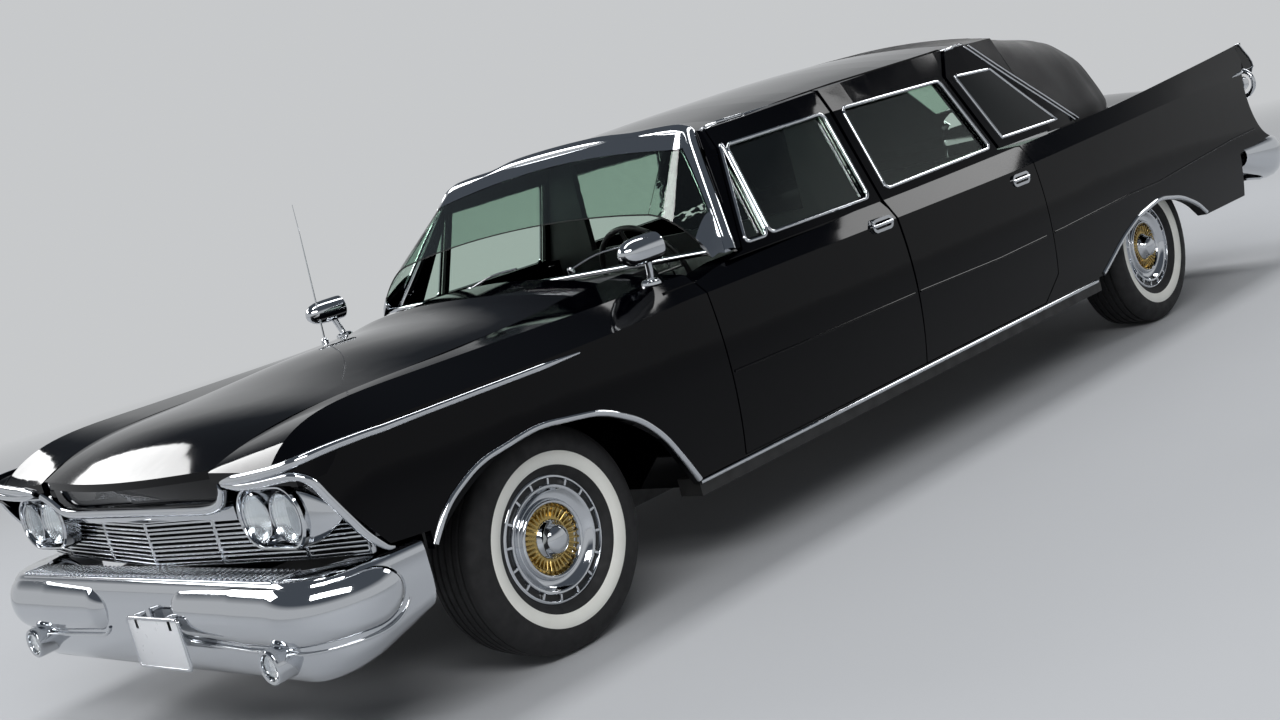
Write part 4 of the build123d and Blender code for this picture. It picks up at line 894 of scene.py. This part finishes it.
class LIMO_OT_windscreen(bpy.types.Operator):
    """Builds the windscreen's broad rounded chrome surround, its foot strip and the wipers"""
    bl_idname = "limo.windscreen"
    bl_label = "Windscreen surround"

    def execute(self, context):
        pillar = [(934 - 290 * share, 992 + 255 * share, 985 + 485 * share)
                  for share in ((z - 985) / 485 for z in range(988, 1370, 30))]
        header = [(690, 1208, 1388), (664, 1212, 1404), (620, 1214, 1414), (520, 1216, 1421), (400, 1218, 1426),
                  (260, 1220, 1430), (130, 1221, 1432), (0, 1221, 1433)]
        outs = [Vector((0.72, -0.62, 0.3)) for _ in pillar]
        outs += [Vector((0.72 * max(0, (x - 600) / 90), -0.75, 0.62)) for x, _, _ in header]
        rail = surface_of("windscreen_frame")
        half = []
        outside, depth = 0.2, 0.26
        for point, out in zip(front_places(*pillar, *header), outs):
            away = out.normalized()
            hit = rail.ray_cast(point + away * outside, -away, depth)[0]
            half.append(hit - away * mm(1) if hit else point)
        line = smooth_path(half + flipped(half[:-1]), 3)
        out = smooth_path(outs + flipped(outs[:-1]), 3)
        finish_piece(moulding(line, out, 46, 17, samples=9), "windscreen_surround", angle=60)
        foot = [from_front(20 * k, 930, 1003) for k in range(-46, 47)]
        foot_out = [(0.5 * k / 46, -1, 0.3) for k in range(-46, 47)]
        finish_piece(moulding(foot, foot_out, 22, 9), "windscreen_foot_strip")
        for name, x0, d0, x1, d1 in (("left", 353, 809, 534, 908), ("right", -200, 794, 20, 852)):
            root, far = from_front(x0, d0, 1042), from_front(x1, d1, 1078)
            arm = tube(smooth_path([root, root.lerp(far, 0.5) + Z * mm(12), far], 4), 4)
            knob = round_form(((-12, 13), (4, 13), (10, 9), (12, 0)), 20, root, (0, -0.3, 1))
            finish_piece(joined(knob, arm), f"wiper_arm_{name}")
        return {"FINISHED"}


MIRROR_HEAD = ((-102, 0), (-104, 40), (-112, 41), (-115, 43), (-112, 46), (-100, 47), (-40, 46), (0, 43), (22, 36),
               (38, 24), (45, 12), (46, 0))


class LIMO_OT_details(bpy.types.Operator):
    """Adds the aerial, the wing mirrors and the gutter"""
    bl_idname = "limo.details"
    bl_label = "Small fittings"

    def execute(self, context):
        head = round_form(MIRROR_HEAD, 40, from_front(906, 576, 1082), (0.02, -1, 0))
        foot = round_form(((-6, 34), (2, 33), (8, 26), (10, 12), (10, 0)), 32, from_front(880, 656, 972), (0.1, 0, 1))
        stalk = smooth_path(front_places((880, 656, 974), (890, 652, 1004), (902, 642, 1046)), 4)
        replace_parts(both_sides(joined(head, foot, tube(stalk, 12, 14)), "wing_mirror"), "mirrors")
        glass = round_form(((0, 41), (2, 40), (3, 0)), 32, from_front(906, 679, 1082), Y)
        both_sides(glass, "mirror_glass", "silvered_glass")
        base = from_front(-880, 560, 968)
        mast = [base + Vector(reach) for reach in ((0.01, 0.02, 0.42), (0.01, 0.02, 0.415), (0.012, 0.024, 0.55))]
        aerial = joined(tube([base, mast[0]], [4, 2]), tube(mast[1:], [1.8, 1.4], 8),
                        round_form(((-6, 16), (6, 14), (16, 8), (20, 0)), 20, base, Z))
        finish_piece(aerial, "aerial")
        gutter = path_from(front_axle, ((1218, 1392), (1330, 1403), (1840, 1414), (2735, 1440), (2860, 1448)), 80)
        both_sides(strip_on_side(surface_of("roof", "roof_cover"), gutter, 11, 7), "roof_gutter")
        return {"FINISHED"}


def hide_rows():
    """Rows of points over the rear of the roof: fans of rays find its outside at stations along the car."""
    roof = surface_of("roof_cover", "cabin_glass")
    belt, start, length, outside, depth = 1.0, -0.6895, 1.29, 1.6, 1.55
    stations = [rear_axle + start + length * t for t in shares(55)]
    fan = [math.pi * t for t in shares(80)]
    reach = np.full((len(stations), len(fan)), np.nan)
    for i, y in enumerate(stations):
        middle = Vector((0, y, belt))
        for k, a in enumerate(fan):
            way = Vector((math.cos(a), 0, math.sin(a)))
            hit = roof.ray_cast(middle + way * outside, -way, depth)[0]
            if hit:
                reach[i, k] = (hit - middle).length
        known = np.flatnonzero(~np.isnan(reach[i]))
        reach[i] = np.interp(np.arange(len(fan)), known, reach[i][known])
    for _ in range(3):
        reach[1:-1] = (reach[:-2] + 2 * reach[1:-1] + reach[2:]) / 4
        reach[:, 2:-2] = (reach[:, 1:-3] + 2 * reach[:, 2:-2] + reach[:, 3:-1]) / 4
    # Behind the front edge the hide is drawn down, most along its top
    sag, sag_start, sag_length, low, rise = 0.05, -0.69, 0.9, 1.03, 0.47
    rows = []
    for y, radii in zip(stations, reach):
        drop = sag * math.sin(math.pi * min(1, (y - rear_axle - sag_start) / sag_length))
        places = [(r * math.cos(a), belt + r * math.sin(a)) for r, a in zip(radii, fan)]
        rows.append([Vector((x, y, z - drop * max(0, (z - low) / rise))) for x, z in places])
    return rows


def cut_window(cover, half, low, high, behind):
    """Cuts the back window clean through the hide; returns a search tree of the uncut hide."""
    shell = bmesh.new()
    shell.from_mesh(cover.data)
    uncut = BVHTree.FromBMesh(shell)
    for place, way in ((X * half, X), (X * -half, X), (Z * low, Z), (Z * high, Z)):
        near = [face for face in shell.faces if face.calc_center_median().y > behind]
        edges, corners = {e for face in near for e in face.edges}, {v for face in near for v in face.verts}
        bmesh.ops.bisect_plane(shell, geom=near + list(edges) + list(corners), plane_co=place, plane_no=way)
    middles = [(face, face.calc_center_median()) for face in shell.faces]
    gone = [face for face, at in middles if abs(at.x) < half and low < at.z < high and at.y > behind]
    bmesh.ops.delete(shell, geom=gone, context="FACES")
    shell.to_mesh(cover.data)
    shell.free()
    return uncut


def quarter_rows(side):
    """Rows of points over the quarter window, from its front post to its back post, bulged slightly."""
    # Each post's foot and head, as (distance behind the rear axle, height), and how far beyond it the body is met
    posts = (((-1046, 1042), (-1104, 1328), -14), ((-616, 1040), (-842, 1318), 14))
    usual_side, usual_lean, sill = 0.86, 0.3, 1.04  # used where the body is missed
    rows = []
    for t in shares(14):
        ends = []
        for (d0, z0), (d1, z1), margin in posts:
            place = from_rear(0, d0 + (d1 - d0) * t, z0 + (z1 - z0) * t)
            found = on_side(side, place.y + mm(margin), place.z)
            place.x = found[0].x if found else usual_side - usual_lean * (place.z - sill)
            ends.append(place)
        rows.append([ends[0].lerp(ends[1], s) + X * mm(3 + 5 * math.sin(math.pi * s)) for s in shares(12)])
    return rows


class LIMO_OT_roof_hide(bpy.types.Operator):
    """Stretches the hide over the rear of the roof and frames the back window and the long quarter windows"""
    bl_idname = "limo.roof_hide"
    bl_label = "Roof hide"

    def execute(self, context):
        cover = sheet(hide_rows())
        half, low, high = 0.44, 1.13, 1.33
        hide = cut_window(cover, half, low, high, rear_axle + 0.1)
        modified(cover, "SOLIDIFY", thickness=mm(7), offset=-1)
        finish_piece(cover, "roof_hide", "roof_finish", angle=50)
        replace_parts(cover, "roof_cover")
        half, low, high = half + mm(7), low - mm(7), high + mm(7)
        corners = [Vector(corner) for corner in ((-half, high), (half, high), (half, low), (-half, low))]
        border = [a.lerp(b, k / count) for a, b, count in zip(corners, corners[1:] + corners[:1], (30, 10, 30, 10))
                  for k in range(count)]
        hits = [hide.ray_cast(Vector((p.x, 3.0, p.y)), -Y, 2.5)[0] for p in border]
        finish_piece(moulding([hit for hit in hits if hit], (0, 0.62, 0.78), 20, 9, True), "back_window_trim")
        side = surface_of("roof", "roof_cover")
        for index, shift in enumerate((0, 34)):
            edge = [(rear_axle + mm(-930 + shift + 475 * t), mm(1450 - 452 * t)) for t in shares(30)]
            both_sides(strip_on_side(side, edge, 8, 5), f"hide_edge_{index}")
        rows = quarter_rows(side)
        pane = modified(sheet(rows), "SOLIDIFY", thickness=mm(5), offset=0)
        # The quarter pane is opaque near-black: painted shade of a dark cabin behind the glass, over the body panel
        both_sides(outwards(pane), "quarter_pane", "cabin_shade_glass")
        loop = rows[0] + [row[-1] for row in rows[1:]] + rows[-1][-2::-1] + [row[0] for row in rows[-2:0:-1]]
        both_sides(moulding(loop, (1, 0, 0.2), 13, 7, True), "quarter_window_trim")
        return {"FINISHED"}


# Where a fin ends: height and how far behind the rear axle
FIN_ENDS = ((946, 1272), (967, 1300), (989, 1298), (1020, 1281), (1055, 1259), (1080, 1243), (1092, 1236))
# The pressed line along the side, and the panels that carry it, both counted from the front axle
CREASE = ((600, 626), (1145, 619), (1883, 614), (2421, 604), (2930, 612), (3541, 630), (3801, 628), (4069, 644),
          (4593, 672), (4881, 678))
CREASED = (("front_door", "front_door_left", "front_left_door", 790, 1826),
           ("rear_door", "rear_door_left", "rear_left_door", 1862, 2780),
           ("tail", "rear_quarters", "body", 2850, 4860))


def fin_rims(fin, seam):
    """The fin's cut edge as a loop of points: at the seam where its cap begins, and at the cap's end."""
    outer, inner = [], []
    highest, usual_side, thinnest, usual_wall, crest, crest_share = 1076, 0.95, 0.006, 0.03, 1085, 0.7
    for z, end in FIN_ENDS:
        height = mm(min(z, highest))
        place = on_side(fin, seam, height)
        x_out = place[0].x if place else usual_side
        hit = fin.ray_cast(Vector((0.5, seam, height)), X, 0.6)[0]
        x_in = hit.x if hit and hit.x < x_out - thinnest else x_out - usual_wall
        middle, half = (x_out + x_in) / 2, (x_out - x_in) / 2 * (crest_share if z > crest else 1.0)
        for row, x in ((outer, middle + half), (inner, middle - half)):
            row.append(Vector((x, rear_axle + mm(end), mm(z))))
    rim = outer + inner[::-1]
    return [Vector((p.x, seam, p.z - (mm(16) if p.z > mm(crest) else 0))) for p in rim], rim


class LIMO_OT_tail(bpy.types.Operator):
    """Closes the fin tips, builds the ringed tail lamps and the spears, and presses the line along the side"""
    bl_idname = "limo.tail"
    bl_label = "Fins and tail lamps"

    def execute(self, context):
        fin = surface_of("rear_quarters")
        root, rim = fin_rims(fin, rear_axle + 1.19)
        both_sides(lofted([root, rim]), "fin_cap", "black_lacquer")
        both_sides(moulding(rim, (0, 0.78, 0.62), 11, 7, True), "fin_lamp_rim")
        middle = sum(rim, Vector()) / len(rim)
        lens = [[middle + (p - middle) * share + Vector((0, mm(h), mm(h * 0.8))) for p in rim]
                for share, h in ((0.9, -2), (0.88, 3), (0.6, 7))]
        both_sides(lofted(lens), "fin_lamp_lens", "ruby_glass")
        spear = []
        for t in shares(21):
            place = from_rear(rim[1].x * 1000, 1006 + 310 * t, 952 + 14 * t)
            found = on_side(fin, place.y, place.z)
            spear.append(found[0] if found else place)
        widths = [18 * (0.2 + 0.8 * math.sin(math.pi * min(1, k / 16))) for k in range(22)]
        both_sides(moulding(spear, X, widths, 8), "fin_spear")
        centre = from_rear(928, 1178, 900)
        ring = round_form(ring_profile(66, 11, 11), 56, centre, Y, loop=True)
        bullet = round_form(((-94, 0), (-94, 34), (-60, 37), (10, 37), (18, 34), (18, 0)), 40, centre, Y)
        lamp = both_sides(joined(ring, bullet, softened(block(centre, (11, 14, 132)), 3)), "tail_lamp_ring")
        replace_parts(lamp, "tail_lamps")
        cone = round_form(((12, 0), (12, 33), (24, 32), (40, 26), (52, 14), (57, 0)), 40, centre, Y)
        both_sides(cone, "tail_lamp_lens", "ruby_glass")
        for name, node, body, first, last in CREASED:
            count = int((last - first) / 24)
            path = [(front_axle + mm(d), mm(np.interp(d, *zip(*CREASE))))
                    for d in (first + (last - first) * t for t in shares(count))]
            both_sides(strip_on_side(surface_of(node), path, 9, 3), f"{name}_crease", "black_lacquer", body)
        return {"FINISHED"}


def cushion(middle, length, depth, height, dome=18, panels=7):
    """A domed hide cushion along X with sewn channels, in millimetres."""
    blunt, square, seam_depth, seam_width, pitch = 1 / 5, 0.36, 0.05, 8, 11
    rings = []
    for t in (2 * share - 1 for share in shares(int(length / pitch))):
        phase = (t + 1) / 2 * panels
        seam = abs(phase - round(phase)) * length / panels
        close = max(0.0, 1 - abs(t) ** 14) ** blunt * (1 - seam_depth * math.exp(-(seam / seam_width) ** 2))
        ring = []
        for a in angles(44):
            c, s = math.cos(a), math.sin(a)
            y = math.copysign(abs(c) ** square, c) * depth / 2
            z = math.copysign(abs(s) ** square, s) * height / 2
            z += dome * max(0, 1 - (2 * y / depth) ** 2) * (1 - t * t * 0.6) if s > 0 else 0
            ring.append(middle + Vector(mm(t * length / 2, y * close, z * close)))
        rings.append(ring)
    return lofted(rings)


class LIMO_OT_seats(bpy.types.Operator):
    """Upholsters both benches in channelled hide"""
    bl_idname = "limo.seats"
    bl_label = "Seats"

    def execute(self, context):
        # Columns: name, length, cushion middle, cushion depth, back middle, back height
        for name, length, place, depth, back, high in (
                ("front", 1368, from_front(0, 1374, 492), 500, from_front(0, 1716, 736), 380),
                ("rear", 1248, from_rear(0, -694, 500), 520, from_rear(0, -340, 768), 370)):
            seat = cushion(place, length, depth, 140)
            rest = cushion(Vector(), length, high, 92, 14)
            rest.data.transform(Matrix.Translation(back) @ Matrix.Rotation(math.radians(-102), 4, "X")
                                @ Matrix.Rotation(math.pi, 4, "Z"))
            for piece, part in ((seat, "cushion"), (rest, "backrest")):
                finish_piece(piece, f"{name}_{part}", "seat_leather", angle=60)
                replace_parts(piece, f"{name}_seat")
            lo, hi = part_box(f"{name}_seat")
            base = block(((lo[0] + hi[0]) / 2, place.y, mm(366)), (length - 40, depth - 60, 112))
            finish_piece(softened(base, 8), f"{name}_seat_base", "chassis_enamel")
        return {"FINISHED"}


class LIMO_OT_steering(bpy.types.Operator):
    """Builds the steering wheel with its horn ring, column and boss"""
    bl_idname = "limo.steering"
    bl_label = "Steering wheel"

    def execute(self, context):
        centre = from_front(370, 1150, 930)
        axis = (centre - from_front(370, 1000, 880)).normalized()
        over = axis.cross(X)
        parts = [round_form(ring_profile(205, 11, 9), 72, centre, axis, loop=True),
                 round_form(((-240, 0), (-240, 26), (-60, 26), (-40, 34), (-20, 40), (-8, 36), (0, 20), (2, 0)), 32,
                            centre, axis)]
        for a in map(math.radians, (-8, 188, 270)):
            way = X * math.cos(a) + over * math.sin(a)
            spoke = [centre - axis * mm(12) + way * mm(s) for s in (20, 100, 190, 204)]
            parts.append(tube(spoke, [14, 9, 8, 8], 10, 0.6))
        wheel = finish_piece(joined(*parts), "steering_wheel_rim", "wheel_enamel", angle=60)
        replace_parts(wheel, "steering_wheel")
        horn = round_form(ring_profile(128, 4, 3, 8, 3), 56, centre, axis, loop=True)
        boss = round_form(((-4, 32), (6, 30), (12, 20), (14, 0)), 32, centre, axis)
        finish_piece(joined(horn, boss), "horn_ring")
        return {"FINISHED"}


def camera_matrix(sizes):
    """The camera's placing: a view from an azimuth and elevation, rolled about its axis."""
    a, e, r = sizes.camera_azimuth, sizes.camera_elevation, sizes.camera_roll
    back = Vector((math.sin(a) * math.cos(e), -math.cos(a) * math.cos(e), math.sin(e)))
    right = (-back).cross(Z).normalized()
    up = right.cross(-back)
    matrix = Matrix((right * math.cos(r) + up * math.sin(r), up * math.cos(r) - right * math.sin(r), back))
    matrix = matrix.transposed().to_4x4()
    matrix.translation = Vector(sizes.camera_place)
    return matrix


class LIMO_OT_stage(bpy.types.Operator):
    """Sets the floor, the lamps, the backdrop light and the camera"""
    bl_idname = "limo.stage"
    bl_label = "Stage"

    def execute(self, context):
        scene = context.scene
        bpy.ops.object.select_all(action="DESELECT")
        bpy.ops.mesh.primitive_grid_add(x_subdivisions=4, y_subdivisions=4, size=400, location=(0, 0, -0.0005))
        floor = context.object
        floor.name = "floor"
        floor.data.materials.append(studio_floor())
        # Columns: place, where it points, size, watts
        lamps = (((5.0, -6.5, 5.5), (0.5, -0.5, 0.6), (7.0, 2.0), 430),
                 ((-7.0, -4.0, 5.0), (0, 0, 0.8), (7.0, 2.0), 340),
                 ((0.5, 7.5, 5.5), (0, 0, 0.8), (8.0, 2.0), 340),
                 ((0.0, 0.0, 8.0), (0, 0, 0), (1.6, 9.0), 300))
        for index, (place, aim, size, watts) in enumerate(lamps):
            bpy.ops.object.light_add(type="AREA", location=place)
            lamp = context.object
            lamp.name = f"soft_lamp_{index}"
            lamp.data.shape = "RECTANGLE"
            lamp.data.size, lamp.data.size_y = size
            lamp.data.energy = watts
            lamp.rotation_euler = (Vector(aim) - Vector(place)).to_track_quat("-Z", "Y").to_euler()
        scene.world = bpy.data.worlds.new("studio")
        scene.world.use_nodes = True
        tree = scene.world.node_tree
        way = add_node(tree, "ShaderNodeTexCoord").outputs["Generated"]
        height = add_node(tree, "ShaderNodeSeparateXYZ", Vector=way).outputs["Z"]
        ramp = add_node(tree, "ShaderNodeValToRGB", Fac=height)
        for stop, place, tone in zip(ramp.color_ramp.elements, (0.24, 0.42), (BACKDROP, "5a6068")):
            stop.position, stop.color = place, rgb(tone)
        wire(tree, tree.nodes["Background"], Color=ramp.outputs["Color"], Strength=0.8)
        sizes = scene.limousine
        bpy.ops.object.camera_add()
        camera = context.object
        camera.matrix_world = camera_matrix(sizes)
        camera.data.sensor_width = 36
        camera.data.lens = sizes.camera_lens
        camera.data.clip_end = 300
        scene.camera = camera
        scene.view_settings.view_transform = "Standard"
        return {"FINISHED"}


OPERATORS = (LIMO_OT_finishes, LIMO_OT_wheel_covers, LIMO_OT_tyres, LIMO_OT_trim, LIMO_OT_front_bumper,
             LIMO_OT_rear_bumper, LIMO_OT_headlamps, LIMO_OT_grille, LIMO_OT_brows, LIMO_OT_windscreen,
             LIMO_OT_details, LIMO_OT_roof_hide, LIMO_OT_tail, LIMO_OT_seats, LIMO_OT_steering, LIMO_OT_stage)


class LIMO_PT_panel(bpy.types.Panel):
    """Lists the steps that dress the limousine"""
    bl_idname = "LIMO_PT_panel"
    bl_label = "Limousine"
    bl_space_type = "VIEW_3D"
    bl_region_type = "UI"
    bl_category = "Limousine"

    def draw(self, context):
        for operator in OPERATORS:
            self.layout.operator(operator.bl_idname)
        for name in LimousineSizes.__annotations__:
            self.layout.prop(context.scene.limousine, name)


CLASSES = (LimousineSizes, *OPERATORS, LIMO_PT_panel)


def register():
    """Registers the classes and the sizes."""
    for item in CLASSES:
        bpy.utils.register_class(item)
    bpy.types.Scene.limousine = PointerProperty(type=LimousineSizes)


def unregister():
    """Removes what register added."""
    del bpy.types.Scene.limousine
    for item in reversed(CLASSES):
        bpy.utils.unregister_class(item)


def main():
    """Dresses the car step by step."""
    register()
    for operator in OPERATORS:
        step = operator.bl_idname.split(".")[1]
        getattr(bpy.ops.limo, step)()


if __name__ == "__main__":
    main()
